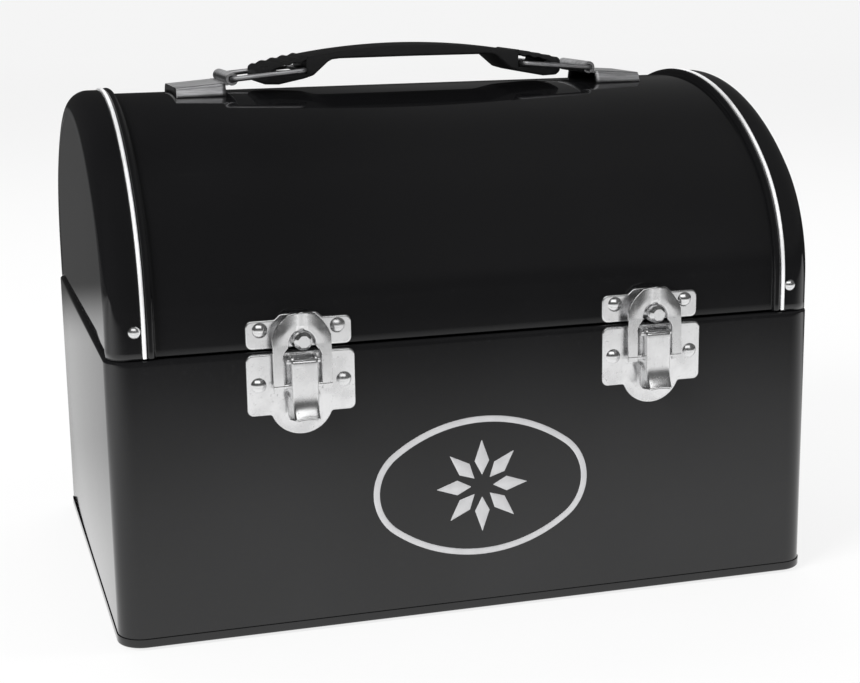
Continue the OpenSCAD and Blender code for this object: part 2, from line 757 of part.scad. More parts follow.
// Closed rectangular ring of wire from the knuckle to the crossbar inside the grip
module link(side) {
    half_y = link_y;
    color([0.68, 0.68, 0.7]) mirror([side < 0 ? 1 : 0, 0, 0])
        translate([knuckle_x, 0, knuckle_z]) rotate([0, link_tilt, 0]) {
            for (x = [0, -link_l]) translate([x, 0, 0]) rotate([90, 0, 0])
                cylinder(r = wire_r, h = 2 * (half_y - bend_r), center = true);
            for (s = [-1, 1]) translate([-link_l / 2, s * half_y, 0]) rotate([0, 90, 0])
                cylinder(r = wire_r, h = link_l - 2 * bend_r, center = true);
            for (i = [0:3])
                translate([i == 0 || i == 3 ? -bend_r : -link_l + bend_r,
                           (i < 2 ? 1 : -1) * (half_y - bend_r), 0])
                    rotate([0, 0, 90 * i]) rotate_extrude(angle = 90) translate([bend_r, 0]) circle(wire_r);
        }
}

// Half of the grip's side view, drawn as (x, z)
module grip_half() {
    intersection() {
        translate([0, grip_top_z - grip_crown_r]) circle(grip_crown_r, $fn = 360);
        polygon([
            [-1, grip_top_z + 1], [grip_end_x - 1, grip_top_z + 1], [grip_end_x - 0.6, grip_belly_z + 5.2],
            [grip_end_x, grip_belly_z + 4.2], [grip_end_x, grip_belly_z + 1.6],
            [grip_end_x - 2.8, grip_belly_z + 0.2], [grip_end_x - 8, grip_belly_z],
            [bar_x_rest, grip_belly_z + 1.8], [bar_x_rest - 3.8, grip_belly_z + 2.9],
            [bar_x_rest - 8.2, grip_top_z - grip_t - 0.5], [bar_x_rest - 11, grip_top_z - grip_t],
            [-1, grip_top_z - grip_t]
        ]);
    }
}

// Slot that the inner crossbar slides along as the link swings up, drawn as (x, z)
module grip_slot() {
    low_z = bar_z - wire_r - run_gap;
    high_z = bar_z + wire_r + slot_slack;
    polygon([
        [bar_x_rest - wire_r - run_gap, low_z], [grip_end_x - 5.7, low_z], [grip_end_x - 5.7, low_z + 1.4],
        [bar_x_up + wire_r + run_gap + 0.4, high_z], [bar_x_rest - wire_r - run_gap, high_z]
    ]);
}

module grip() {
    color([0.09, 0.09, 0.09]) for (s = [0, 1]) mirror([s, 0, 0]) {
        difference() {
            rotate([90, 0, 0]) linear_extrude(grip_w, center = true) difference() {
                grip_half();
                grip_slot();
            }
            // rounded corners in plan
            for (c = [0, 1]) mirror([0, c, 0]) difference() {
                translate([grip_end_x - grip_corner_r, grip_w / 2 - grip_corner_r, crest_z - 1])
                    cube([grip_corner_r + 1, grip_corner_r + 1, grip_rise + 2]);
                translate([grip_end_x - grip_corner_r, grip_w / 2 - grip_corner_r, crest_z - 2])
                    cylinder(r = grip_corner_r, h = grip_rise + 4);
            }
            translate([-2, -grip_w, crest_z - 5]) cube([2, 2 * grip_w, 40]);
        }
        // cross ribs over the end of the grip
        for (i = [0:grip_ribs - 1]) {
            x = bar_x_rest - 1 + i * rib_pitch;
            top = grip_top_z - grip_crown_r + sqrt(grip_crown_r * grip_crown_r - x * x);
            translate([x, 0, top - 0.35]) rotate([90, 0, 0])
                cylinder(r = rib_r, h = grip_w - 2 * (i < 4 ? 1 : 4), center = true);
        }
    }
}

body_wall();
bottom_pan();
badge_plate();
latch_base(-1);  // left_latch_base
latch_base(1);  // right_latch_base
lever_pin(-1);  // left_lever_pin
lever_pin(1);  // right_lever_pin
latch_base_rivets();
lever(-1);  // left_lever
lever(1);  // right_lever
loop_pin(-1);  // left_loop_pin
loop_pin(1);  // right_loop_pin
latch_loop(-1);  // left_loop
latch_loop(1);  // right_loop
lid_dome();
end_cap(-1);  // left_end_cap
end_cap(1);  // right_end_cap
trim_wire(-1);  // left_trim_wire
trim_wire(1);  // right_trim_wire
end_cap_rivets();
catch_plate(-1);  // left_catch_plate
catch_plate(1);  // right_catch_plate
catch_stud(-1);  // left_catch_stud
catch_stud(1);  // right_catch_stud
catch_rivets();
hinge_body_leaf();
hinge_lid_leaf();
hinge_pin();
hinge_body_rivets();
hinge_lid_rivets();
bracket(-1);  // left_bracket
bracket(1);  // right_bracket
link(-1);  // left_link
link(1);  // right_link
grip();
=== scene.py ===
"""Dome-top metal lunch box: the visible pieces and their finishes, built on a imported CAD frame.

Shapes are worked out in millimetres, in the frame's own axes: +X along the box, -Y in front,
+Z up. They are scaled to metres only when a mesh is made.
"""

import json
import math
from types import SimpleNamespace

import bmesh
import bpy
import numpy as np
from bpy.props import FloatProperty, FloatVectorProperty, PointerProperty
from mathutils import Matrix, Vector

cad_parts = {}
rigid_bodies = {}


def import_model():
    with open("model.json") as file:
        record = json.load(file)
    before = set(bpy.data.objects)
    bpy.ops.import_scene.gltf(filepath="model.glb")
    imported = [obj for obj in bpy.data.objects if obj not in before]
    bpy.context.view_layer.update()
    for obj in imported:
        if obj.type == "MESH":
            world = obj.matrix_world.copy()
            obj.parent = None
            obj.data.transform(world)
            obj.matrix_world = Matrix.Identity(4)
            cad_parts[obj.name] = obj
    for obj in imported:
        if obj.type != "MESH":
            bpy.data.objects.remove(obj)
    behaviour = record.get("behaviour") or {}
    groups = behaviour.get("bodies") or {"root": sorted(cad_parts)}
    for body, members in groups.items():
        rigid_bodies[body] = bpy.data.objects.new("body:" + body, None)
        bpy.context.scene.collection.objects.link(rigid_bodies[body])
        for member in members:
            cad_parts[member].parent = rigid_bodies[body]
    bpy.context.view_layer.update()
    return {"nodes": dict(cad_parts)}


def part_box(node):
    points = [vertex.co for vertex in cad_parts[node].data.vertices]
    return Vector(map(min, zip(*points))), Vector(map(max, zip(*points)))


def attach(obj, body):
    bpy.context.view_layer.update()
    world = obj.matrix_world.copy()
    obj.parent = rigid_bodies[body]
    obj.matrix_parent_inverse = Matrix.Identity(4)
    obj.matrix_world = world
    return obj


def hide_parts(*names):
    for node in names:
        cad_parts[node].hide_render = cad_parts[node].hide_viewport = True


bl_info = {
    "name": "Dome-Top Lunch Box",
    "version": (1, 0, 0),
    "blender": (4, 5, 0),
    "location": "3D View > Sidebar > Lunch Box",
    "description": "Builds a metal lunch box with a domed lid, draw latches and a carrying handle",
    "category": "Object",
}

MM = 0.001
SIDES = (("left", -1), ("right", 1))

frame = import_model()


def corners_of(*nodes):
    """Lowest and highest corner of some CAD nodes together, in millimetres."""
    boxes = np.array([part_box(n) for n in nodes]) / MM
    return boxes[:, 0].min(0), boxes[:, 1].max(0)


WALL_LO, WALL_HI = corners_of("body_wall")
DOME_LO, DOME_HI = corners_of("lid_dome")
_, CAP_HI = corners_of("right_end_cap")
_, WIRE_HI = corners_of("right_trim_wire")


# ---- settings ----


def size(name, default, about):
    """A length setting, given in millimetres."""
    return FloatProperty(
        name=name, description=about, default=default * MM, min=0, unit="LENGTH", precision=5
    )


def paint(name, default, about):
    """A colour setting."""
    return FloatVectorProperty(
        name=name, description=about, default=default, size=3, min=0, max=1, subtype="COLOR"
    )


def share(name, default, about, top=1.0):
    """A plain number setting."""
    return FloatProperty(name=name, description=about, default=default, min=0, max=top)


class BodySizes(bpy.types.PropertyGroup):
    corner: size("Corner radius", 9, "Radius of the body's upright corners")
    sheet: size("Sheet", 0.6, "Thickness of the steel sheet")
    rim: size("Rim radius", 1.2, "Radius of the rolled rim round the mouth")
    seam: size("Seam height", 3.2, "Height of the folded seam round the bottom")
    proud: size("Seam depth", 0.35, "How far the bottom seam stands out from the wall")
    panel: size("Panel rise", 0.5, "How far the middle of the floor is pressed up")


class LidSizes(bpy.types.PropertyGroup):
    bead_height: size("Bead height", 2.2, "Height of the pressed bead beside each trim wire")
    bead_width: size("Bead width", 2.7, "Width of the pressed bead")
    side: size("Upright side", 11.2, "Height of the lid's upright front and back")
    turn: FloatProperty(
        name="Shoulder turn",
        description="Turn of each shoulder arc before the flatter crown begins",
        default=math.radians(46),
        subtype="ANGLE",
    )
    cap_rise: size("Cap rise", 1.5, "How far an end cap's flange stands over the dome sheet")
    cap_edge: size("Cap edge radius", 7.5, "Radius of the rounded edge of an end cap")
    cap_step: size("Cap step", 0.3, "How far the end face is pressed in")
    wire: size("Wire radius", 0.7, "Radius of the bright trim wire")
    hem: size("Hem height", 4.4, "Height of the hem folded up inside the lower edge")


class LatchSizes(bpy.types.PropertyGroup):
    plate: size("Plate thickness", 0.8, "Thickness of the catch and base plates")
    plate_edge: size("Plate edge", 0.62, "Radius of a plate's rolled edge")
    plate_corner: size("Plate corner", 2.2, "Radius of a plate's corners")
    lobe: size("Lobe radius", 11, "Radius of the round lobe under the base plate")
    rivet: size("Rivet head", 2.65, "Radius of a latch rivet's domed head")
    small_rivet: size("Small rivet head", 2, "Radius of the rivets of the end caps and the hinge")
    rivet_grip: size("Rivet grip", 1.4, "Length of a rivet between its head and its tail")
    stud_foot: size("Stud foot", 3.3, "Radius of the catch stud at its foot")
    stud_end: size("Stud end", 2.5, "Radius of the catch stud at its end")
    leg: size("Loop leg", 3.6, "Width of one leg of the loop")
    window: size("Loop window", 4.65, "Radius of the loop's round window")
    crease: size("Loop crease", 0.8, "Height of the pressed crease above the window")
    flare: size("Lever flare", 14, "Radius of the outward flare at the lever's tail")
    lever_sheet: size("Lever sheet", 0.8, "Thickness of the lever's sheet")
    hollow: size("Tail hollow", 0.9, "Depth of the hollow in the lever's lower end")


class HandleSizes(bpy.types.PropertyGroup):
    bracket_sheet: size("Bracket sheet", 1, "Thickness of the bracket's sheet")
    bore: size("Knuckle bore", 1.2, "Radius of the bore through a bracket's knuckle")
    wire: size("Link wire", 1, "Radius of the link wire")
    crown: size("Grip crown", 250, "Radius of the arch along the grip's top")
    soft: size("Grip edge", 1.5, "Radius of the grip's long edges")
    corner: size("Grip corner", 5, "Radius of the grip's corners seen from above")
    rib: size("Rib height", 0.55, "Height of the waves over the grip's ends")


class Finishes(bpy.types.PropertyGroup):
    enamel: paint("Enamel", (0.0050, 0.0050, 0.0054), "Black enamel of the body and the lid")
    nickel: paint("Nickel", (0.86, 0.86, 0.865), "Bright plating of the latches")
    steel: paint("Brushed steel", (0.46, 0.46, 0.47), "Brackets and link wires")
    hinge: paint("Hinge steel", (0.46, 0.46, 0.47), "Piano hinge")
    wire: paint("Trim wire", (0.95, 0.95, 0.955), "Polished trim wires")
    grip: paint("Grip", (0.0085, 0.0085, 0.0088), "Moulded grip")
    badge: paint("Badge", (0.60, 0.60, 0.61), "Raised ring and rosette of the badge")
    floor: paint("Floor", (0.93, 0.93, 0.93), "Studio floor and sweep")


class StageSizes(bpy.types.PropertyGroup):
    key: share("Key light", 26, "Power of the soft light at the left", 500)
    top: share("Top light", 6, "Power of the soft light behind and above", 500)
    metal: share("Metal light", 9, "Power of the large soft lights that only bright metal sees", 500)
    fill: share("Fill light", 6, "Power of the soft light at the right", 500)
    room: share("Room light", 0.15, "Strength of the even light all round", 10)


GROUPS = {
    "body": BodySizes,
    "lid": LidSizes,
    "latch": LatchSizes,
    "handle": HandleSizes,
    "finish": Finishes,
    "stage": StageSizes,
}


class LunchBoxSettings(bpy.types.PropertyGroup):
    body: PointerProperty(type=BodySizes)
    lid: PointerProperty(type=LidSizes)
    latch: PointerProperty(type=LatchSizes)
    handle: PointerProperty(type=HandleSizes)
    finish: PointerProperty(type=Finishes)
    stage: PointerProperty(type=StageSizes)


def lengths(group):
    """The lengths of one settings group, in millimetres."""
    values = getattr(bpy.context.scene.lunch_box, group)
    names = GROUPS[group].__annotations__
    return SimpleNamespace(**{n: getattr(values, n) / MM for n in names})


def colour(name):
    """A colour from the finish settings, with full alpha."""
    return (*getattr(bpy.context.scene.lunch_box.finish, name), 1.0)


# ---- lines in a plane ----


def join(*parts):
    """Arrays of points, one after another."""
    return np.concatenate(parts)


def arc(x, y, radius, start, end, count):
    """Points (x + r cos t, y + r sin t), with t running from start to end in degrees."""
    t = np.radians(np.linspace(start, end, count))
    return np.stack([x + radius * np.cos(t), y + radius * np.sin(t)], 1)


def line(*points, count=0):
    """The points themselves, or count points spread evenly along the line through them."""
    p = np.array(points, float)
    if not count:
        return p
    run = np.r_[0, np.cumsum(np.linalg.norm(np.diff(p, axis=0), axis=1))]
    at = np.linspace(0, run[-1], count)
    return np.stack([np.interp(at, run, p[:, i]) for i in range(p.shape[1])], 1)


def rounded(points, radii, count=7):
    """Closed outline through corner points, each corner cut by an arc that touches both sides."""
    p = np.array(points, float)
    out = []
    for i, radius in enumerate(radii):
        here, to_a, to_b = p[i], p[i - 1] - p[i], p[(i + 1) % len(p)] - p[i]
        to_a, to_b = to_a / np.linalg.norm(to_a), to_b / np.linalg.norm(to_b)
        half = math.acos(np.clip(to_a @ to_b, -1, 1)) / 2
        if radius <= 0:
            out.append(here[None])
            continue
        reach = radius / math.tan(half)
        middle = here + (to_a + to_b) / np.linalg.norm(to_a + to_b) * radius / math.sin(half)
        a, b = here + to_a * reach - middle, here + to_b * reach - middle
        t = np.linspace(0, 1, count)[:, None]
        angle = math.pi - 2 * half
        blend = (np.sin((1 - t) * angle) * a + np.sin(t * angle) * b) / math.sin(angle)
        out.append(middle + blend)
    return np.concatenate(out)


def outward(outline):
    """Normals of a closed outline, lengthened at its corners so that an offset keeps its width."""
    edge = np.roll(outline, -1, 0) - outline
    edge /= np.linalg.norm(edge, axis=1)[:, None]
    normal = np.stack([edge[:, 1], -edge[:, 0]], 1)
    both = normal + np.roll(normal, 1, 0)
    both /= np.maximum((both**2).sum(1), 1e-9)[:, None] ** 0.5
    both /= np.maximum((both * normal).sum(1), 0.6)[:, None]
    x, y = outline.T
    area = (x * np.roll(y, -1) - np.roll(x, -1) * y).sum()
    return both * np.sign(area)


def oval(a, b, end, count=29):
    """Closed outline of four arcs: ends of radius end, joined by the flatter arcs that touch them."""
    e = a - end
    side = (e * e + b * b - end * end) / (2 * (b - end))
    turn = math.degrees(math.atan2(side - b, e))
    q = join(arc(e, 0, end, 0, turn, count), arc(0, b - side, side, turn, 90, count)[1:])
    half = join(q, (q * [-1, 1])[-2::-1])
    return join(half, (half * [1, -1])[-2:0:-1])


# ---- surfaces ----


def spread(x, y, z):
    """Points (x, y, z), the three arrays first spread to one common grid."""
    return np.stack(np.broadcast_arrays(x, y, z), -1)


def loft(grid, around=False, along=False, caps=False, centre=None):
    """Shell over grid[u, v]: a quad for each cell between neighbouring rows and columns.

    around joins the last column to the first, along the last row to the first, and caps closes
    the first and last rows with a flat face. The faces are turned so that the signed volume about
    centre, the sum of a . (b x c) / 6 over the triangles, is positive.
    """
    nu, nv = grid.shape[:2]
    i = np.arange(nu if along else nu - 1)[:, None]
    j = np.arange(nv if around else nv - 1)[None, :]
    i2, j2 = (i + 1) % nu, (j + 1) % nv
    faces = np.stack([i * nv + j, i2 * nv + j, i2 * nv + j2, i * nv + j2], -1).reshape(-1, 4)
    points = grid.reshape(-1, 3)
    rings = [np.arange(nv), np.arange(nu * nv - 1, (nu - 1) * nv - 1, -1)] if caps else []
    about = points - (points.mean(0) if centre is None else np.array(centre))
    a, b, c, d = (about[faces[:, k]] for k in range(4))
    volume = (a * np.cross(b, c)).sum() + (a * np.cross(c, d)).sum()
    for ring in rings:
        r = about[ring]
        volume += (r[0] * np.cross(r[1:-1], r[2:])).sum()
    faces = faces.tolist() + [r.tolist() for r in rings]
    return points, faces if volume > 0 else [f[::-1] for f in faces]


def disc(ring, towards):
    """One flat face over a closed ring of points, facing along the vector towards."""
    normal = np.cross(ring, np.roll(ring, -1, 0)).sum(0)
    order = np.arange(len(ring))
    return ring, [(order if normal @ towards > 0 else order[::-1]).tolist()]


def mirrored(shell, side):
    """The shell itself for the right side, or mirrored across X = 0 for the left."""
    points, faces = shell
    return (points, faces) if side > 0 else (points * [-1, 1, 1], [f[::-1] for f in faces])


def turned(profile, centre, axis, count=32):
    """Surface of revolution: centre + h axis + r (e1 cos t + e2 sin t) for each (r, h)."""
    axis = np.array(axis, float)
    e1 = np.cross(axis, [0, 0, 1] if abs(axis[2]) < 0.9 else [1, 0, 0])
    e2 = np.cross(axis, e1)
    t = np.linspace(0, 2 * math.pi, count, endpoint=False)
    spoke = np.cos(t)[:, None] * e1 + np.sin(t)[:, None] * e2
    r, h = np.array(profile, float).T
    return loft(
        np.array(centre) + h[:, None, None] * axis + r[:, None, None] * spoke, around=True, caps=True
    )


def rod(path, across, radius, closed=False, count=16):
    """Round rod: path + r (n cos t + b sin t), where b = across and n = b x tangent."""
    if closed:
        tangent = np.roll(path, -1, 0) - np.roll(path, 1, 0)
    else:
        tangent = np.gradient(path, axis=0)
    n = np.cross(np.array(across, float), tangent)
    n /= np.linalg.norm(n, axis=1)[:, None]
    t = np.linspace(0, 2 * math.pi, count, endpoint=False)
    ring = np.cos(t)[None, :, None] * n[:, None] + np.sin(t)[None, :, None] * np.array(across, float)
    return loft(path[:, None] + radius * ring, around=True, along=closed, caps=not closed)


def pin(start, end, radius, soft=0.25):
    """Round pin with rounded ends, from start to end."""
    start, end = np.array(start, float), np.array(end, float)
    length = np.linalg.norm(end - start)
    edge = arc(radius - soft, 0, soft, 0, 90, 5)
    low = np.stack([edge[::-1, 0], soft - edge[::-1, 1]], 1)
    high = np.stack([edge[:, 0], length - soft + edge[:, 1]], 1)
    tip = [[0.02, 0]], [[0.02, length]]
    return turned(join(tip[0], low, high, tip[1]), start, (end - start) / length, 24)


def rivet(centre, axis, radius, grip):
    """Domed rivet: a spherical head over the plate, a shank of length grip and a flat tail."""
    head = radius * 0.5
    ball = (radius**2 + head**2) / (2 * head)
    top = math.degrees(math.asin(radius / ball))
    dome = arc(0, head - ball, ball, 90, 90 - top, 12)
    dome[0, 0] = 0.02
    tail = [[1.1, 0.0], [1.1, -grip], [1.87, -grip], [1.87, -grip - 0.7], [0.02, -grip - 0.7]]
    return turned(join(dome, line((radius, 0.0), *tail)), centre, axis, 28)


def front(x, z, out):
    """Points in front of the body's front face, out being the distance towards -Y."""
    return spread(x, WALL_LO[1] - out, z)


def plate(outline, back, face, soft, stand=front):
    """Flat plate with a rolled edge: the outline moved in by soft (1 - cos t) at depth
    face - soft + soft sin t, closed by flat faces in front and behind."""
    t = np.radians(np.linspace(0, 90, 7))
    inset = np.r_[0.6, 0, soft * (1 - np.cos(t)), soft + 0.3]
    depth = np.r_[back, back, face - soft + soft * np.sin(t), face]
    n = outward(outline)
    x = outline[:, 0] - inset[:, None] * n[:, 0]
    z = outline[:, 1] - inset[:, None] * n[:, 1]
    return loft(stand(x, z, depth[:, None]), around=True, caps=True)


# ---- meshes ----


def piece(name, shells, look, body, *stands_for, wall=0.0, sharp=38):
    """Makes one object of the shells, gives it its wall and look, and sets it on its body."""
    points = np.concatenate([p for p, _ in shells])
    starts = np.cumsum([0] + [len(p) for p, _ in shells])
    faces = [[k + s for k in f] for (_, fs), s in zip(shells, starts) for f in fs]
    mesh = bpy.data.meshes.new(name)
    mesh.from_pydata((points * MM).tolist(), [], faces)
    bm = bmesh.new()
    bm.from_mesh(mesh)
    bmesh.ops.remove_doubles(bm, verts=bm.verts, dist=2e-7)
    bm.to_mesh(mesh)
    bm.free()
    mesh.shade_smooth()
    mesh.set_sharp_from_angle(angle=math.radians(sharp))
    mesh.materials.append(finish(look))
    obj = bpy.data.objects.new(name, mesh)
    bpy.context.scene.collection.objects.link(obj)
    if wall:
        thick = obj.modifiers.new("Wall", "SOLIDIFY")
        thick.thickness = wall * MM
        thick.offset = -1
        thick.use_even_offset = False
    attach(obj, body)
    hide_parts(*stands_for)


# ---- finishes ----


class Value:
    """Wraps a node's output socket, so that arithmetic on it adds Math nodes."""

    def __init__(self, nodes, socket):
        self.nodes, self.socket = nodes, socket

    def _math(self, operation, *values):
        inputs = dict(enumerate(values))
        return self.nodes.add("ShaderNodeMath", {"operation": operation}, inputs)

    def __add__(self, other):
        return self._math("ADD", self, other)

    def __sub__(self, other):
        return self._math("SUBTRACT", self, other)

    def __rsub__(self, other):
        return self._math("SUBTRACT", other, self)

    def __mul__(self, other):
        return self._math("MULTIPLY", self, other)

    __radd__, __rmul__ = __add__, __mul__

    def over(self, low, high):
        """0 below low, 1 above high, and smooth between them."""
        return self.nodes.add(
            "ShaderNodeMapRange",
            {"interpolation_type": "SMOOTHSTEP"},
            {"Value": self, "From Min": low, "From Max": high},
        )


class Nodes:
    """A material's node tree with one method that adds any node."""

    def __init__(self, name):
        self.material = bpy.data.materials.new(name)
        self.material.use_nodes = True
        self.tree = self.material.node_tree
        self.tree.nodes.clear()
        self.point = self.add("ShaderNodeTexCoord", out="Object")

    def add(self, kind, settings=(), inputs=(), out=None):
        """Adds a node: its settings first, then the value or link of each named input."""
        node = self.tree.nodes.new(kind)
        for key, value in dict(settings).items():
            setattr(node, key, value)
        for key, value in dict(inputs).items():
            socket = self.find(node.inputs, key)
            if isinstance(value, Value):
                self.tree.links.new(value.socket, socket)
            else:
                socket.default_value = value
        if not node.outputs:
            return node
        free = [s for s in node.outputs if s.enabled]
        return Value(self, free[0] if out is None else self.find(node.outputs, out))

    @staticmethod
    def find(sockets, key):
        """A socket by its place, its name or its identifier, with those in use first."""
        if isinstance(key, int):
            return sockets[key]
        return next(s for s in sockets if s.enabled and key in (s.name, s.identifier))

    def noise(self, scale, detail=2.0, rough=0.5, stretch=None):
        """Noise of the object's own coordinates, stretched along an axis where asked."""
        where = self.point
        if stretch:
            where = self.add(
                "ShaderNodeMapping", {}, {"Vector": where, "Scale": stretch}
            )
        return self.add(
            "ShaderNodeTexNoise",
            {},
            {"Vector": where, "Scale": scale, "Detail": detail, "Roughness": rough},
            out="Fac",
        )

    def mix(self, amount, a, b):
        """Colour a where amount is 0, b where it is 1."""
        return self.add(
            "ShaderNodeMix",
            {"data_type": "RGBA"},
            {"Factor_Float": amount, "A_Color": a, "B_Color": b},
            out="Result_Color",
        )

    def axis(self, name):
        """One of the object's own coordinates, in metres."""
        return self.add("ShaderNodeSeparateXYZ", {}, {"Vector": self.point}, out=name)

    def bump(self, height, distance, strength=1.0, under=None):
        """Normal tilted by the slope of height times distance, on top of another bump if given."""
        inputs = {"Height": height, "Distance": distance, "Strength": strength}
        if under is not None:
            inputs["Normal"] = under
        return self.add("ShaderNodeBump", {}, inputs)

    def finish(self, **inputs):
        """Puts the surface shader in place. Underscores stand for spaces in its socket names."""
        shader = self.add(
            "ShaderNodeBsdfPrincipled", {}, {k.replace("_", " "): v for k, v in inputs.items()}
        )
        self.add("ShaderNodeOutputMaterial", {}, {"Surface": shader})
        return self.material


def shade(rgba, factor):
    """The colour made lighter or darker, its alpha kept."""
    return (*(min(1.0, c * factor) for c in rgba[:3]), 1.0)


def enamel_finish(name="black_enamel"):
    """Glossy stoved enamel: faint orange peel, a haze of handling, dust specks and fine rubs."""
    m = Nodes(name)
    base = colour("enamel")
    peel = m.noise(420, 1.0)
    ripple = m.noise(26, 2.0)
    haze = m.noise(18, 4.0, 0.6).over(0.35, 0.75)
    speck = m.noise(1500, 0.0).over(0.74, 0.8)
    cloud = m.noise(9, 2.0).over(0.4, 0.7)
    rub = m.noise(60, 2.0, 0.5, stretch=(0.35, 0.6, 14)).over(0.68, 0.8)
    tone = m.mix(cloud * 0.8, base, shade(base, 1.5))
    tone = m.mix(speck * 0.012 + rub * 0.005, tone, (0.30, 0.30, 0.31, 1))
    normal = m.bump(ripple, 0.00003, 1.0, m.bump(peel, 0.0000015))
    return m.finish(
        Base_Color=tone,
        Roughness=0.05 + haze * 0.03 + speck * 0.1 + rub * 0.06,
        Coat_Weight=0.25 + haze * 0.05,
        Coat_Roughness=0.03,
        IOR=1.46,
        Normal=normal,
    )


def nickel_finish(name="bright_nickel"):
    """Satin plating: fine upright grain, soft tarnish and smudges."""
    m = Nodes(name)
    base = colour("nickel")
    grain = m.noise(900, 2.0, 0.6, stretch=(1, 1, 0.12))
    smudge = m.noise(130, 3.0).over(0.35, 0.72)
    pits = m.noise(1900, 0.0).over(0.74, 0.82)
    tone = m.mix(smudge * 0.35, base, shade(base, 0.84))
    tone = m.mix(pits * 0.4, tone, shade(base, 0.45))
    return m.finish(
        Base_Color=tone,
        Metallic=1.0,
        Roughness=0.19 + smudge * 0.09 + grain * 0.05,
        Normal=m.bump(grain, 0.00002, 0.5),
    )


def steel_finish(name, key, along, rough=0.34):
    """Brushed steel: streaks of noise stretched along one axis, with darker stains."""
    m = Nodes(name)
    base = colour(key)
    streak = m.noise(700, 3.0, 0.7, stretch=along)
    broad = m.noise(160, 2.0, 0.5, stretch=along)
    stain = m.noise(70, 3.0).over(0.45, 0.75)
    tone = m.mix(streak.over(0.3, 0.7), shade(base, 0.72), shade(base, 1.25))
    tone = m.mix(stain * 0.35, tone, shade(base, 0.6))
    return m.finish(
        Base_Color=tone,
        Metallic=1.0,
        Roughness=rough + broad * 0.12 + stain * 0.06,
        Normal=m.bump(streak, 0.00004, 0.7),
    )


def wire_finish(name="polished_wire"):
    """Polished wire with faint drawing lines and a few dull spots."""
    m = Nodes(name)
    base = colour("wire")
    draw = m.noise(1200, 2.0)
    dull = m.noise(90, 3.0).over(0.5, 0.8)
    return m.finish(
        Base_Color=m.mix(dull * 0.4, base, shade(base, 0.7)),
        Metallic=0.5 + dull * 0.1,
        Roughness=0.28 + dull * 0.12 + draw * 0.03,
        Normal=m.bump(draw, 0.00001, 0.4),
    )


def grip_finish(name="moulded_grip"):
    """Moulded plastic: fine spark-eroded grain, worn smoother and a little shinier in patches."""
    m = Nodes(name)
    base = colour("grip")
    grain = m.noise(1700, 2.0, 0.6)
    flow = m.noise(60, 3.0, 0.5, stretch=(0.4, 1, 1))
    worn = flow.over(0.45, 0.7)
    return m.finish(
        Base_Color=m.mix(grain.over(0.4, 0.8) * 0.5 + worn * 0.3, base, shade(base, 2.1)),
        Roughness=0.42 - worn * 0.10 + grain * 0.06,
        Normal=m.bump(grain, 0.00007, 0.8),
    )


def badge_finish(name="badge_print"):
    """Satin light grey enamel in the raised parts of the badge."""
    m = Nodes(name)
    base = colour("badge")
    mottle = m.noise(240, 3.0).over(0.35, 0.7)
    fine = m.noise(1500, 1.0)
    return m.finish(
        Base_Color=m.mix(mottle * 0.3, base, shade(base, 0.86)),
        Roughness=0.36 + mottle * 0.1,
        Metallic=0.25 + mottle * 0.05,
        Normal=m.bump(fine, 0.00001, 0.5),
    )


def floor_finish(name="studio_floor"):
    """Pale matt paper, lit evenly from below, so that the box still leaves a soft shadow."""
    m = Nodes(name)
    base = colour("floor")
    fibre = m.noise(300, 2.0)
    return m.finish(
        Base_Color=m.mix(fibre * 0.05, shade(base, 0.20), shade(base, 0.19)),
        Roughness=0.9,
        Specular_IOR_Level=0.0,
        Emission_Color=(0.80, 0.80, 0.80, 1),
        Emission_Strength=1.0,
    )


def mirror_room_finish(name="mirror_room"):
    """What polished surfaces see: pale near the box, dimmer away in front, dark above and behind.

    Its glow is painted reflection. A glowing strip runs back along the left of the box, a painted
    reflection of pale floor for its left end.
    """
    m = Nodes(name)
    x, y, z = m.axis("X"), m.axis("Y"), m.axis("Z")
    ahead = y.over(-0.62, -0.08)
    # painted reflection: a pale strip that the box's left end reflects
    left_end_reflection_strip = (1 - x.over(-0.131, -0.118)) * (1 - y.over(0.4, 0.62) * 0.9) * 0.56
    behind = y.over(-0.05, 0.2)
    ground = (ahead * 0.88 + 0.07) * (1 - behind) + (left_end_reflection_strip + 0.03) * behind
    # painted reflection: a lighter wedge high on the right, seen in the dome
    dome_reflection_wedge = x.over(0.3, 0.9) * z.over(0.25, 0.8)
    above = 0.055 - y.over(-0.2, 1.2) * 0.03 + dome_reflection_wedge * 0.06
    high = z.over(0.005, 0.06)
    glow = ground * (1 - high) + above * high
    return m.finish(
        Base_Color=(0, 0, 0, 1),
        Specular_IOR_Level=0.0,
        Emission_Color=m.mix(glow, (0, 0, 0, 1), (1, 1, 1, 1)),
        Emission_Strength=1.0,
    )


MAKERS = {
    "enamel": enamel_finish,
    "nickel": nickel_finish,
    "bracket": lambda: steel_finish("brushed_steel", "steel", (0.1, 1, 1)),
    "hinge": lambda: steel_finish("hinge_steel", "hinge", (0.08, 1, 1), 0.3),
    "wire": wire_finish,
    "grip": grip_finish,
    "badge": badge_finish,
    "floor": floor_finish,
    "mirror": mirror_room_finish,
}
FINISHES = {}


def finish(look):
    """The look's material, made once and shared by all its pieces."""
    if look not in FINISHES:
        FINISHES[look] = MAKERS[look]()
    return FINISHES[look]


# ---- body ----


def body_plan(count=11):
    """Closed outline of the body seen from above, without its bottom seam."""
    x, y = WALL_HI[0], WALL_HI[1]
    r = lengths("body").corner
    return rounded([(-x, -y), (x, -y), (x, y), (-x, y)], [r] * 4, count)


def round_body(profile):
    """Profile (out, z) carried round the body's plan: plan + out * normal, at height z."""
    plan = body_plan()
    n = outward(plan)
    out, z = np.array(profile, float).T
    x = plan[:, None, 0] + out * n[:, None, 0]
    y = plan[:, None, 1] + out * n[:, None, 1]
    return spread(x, y, z)


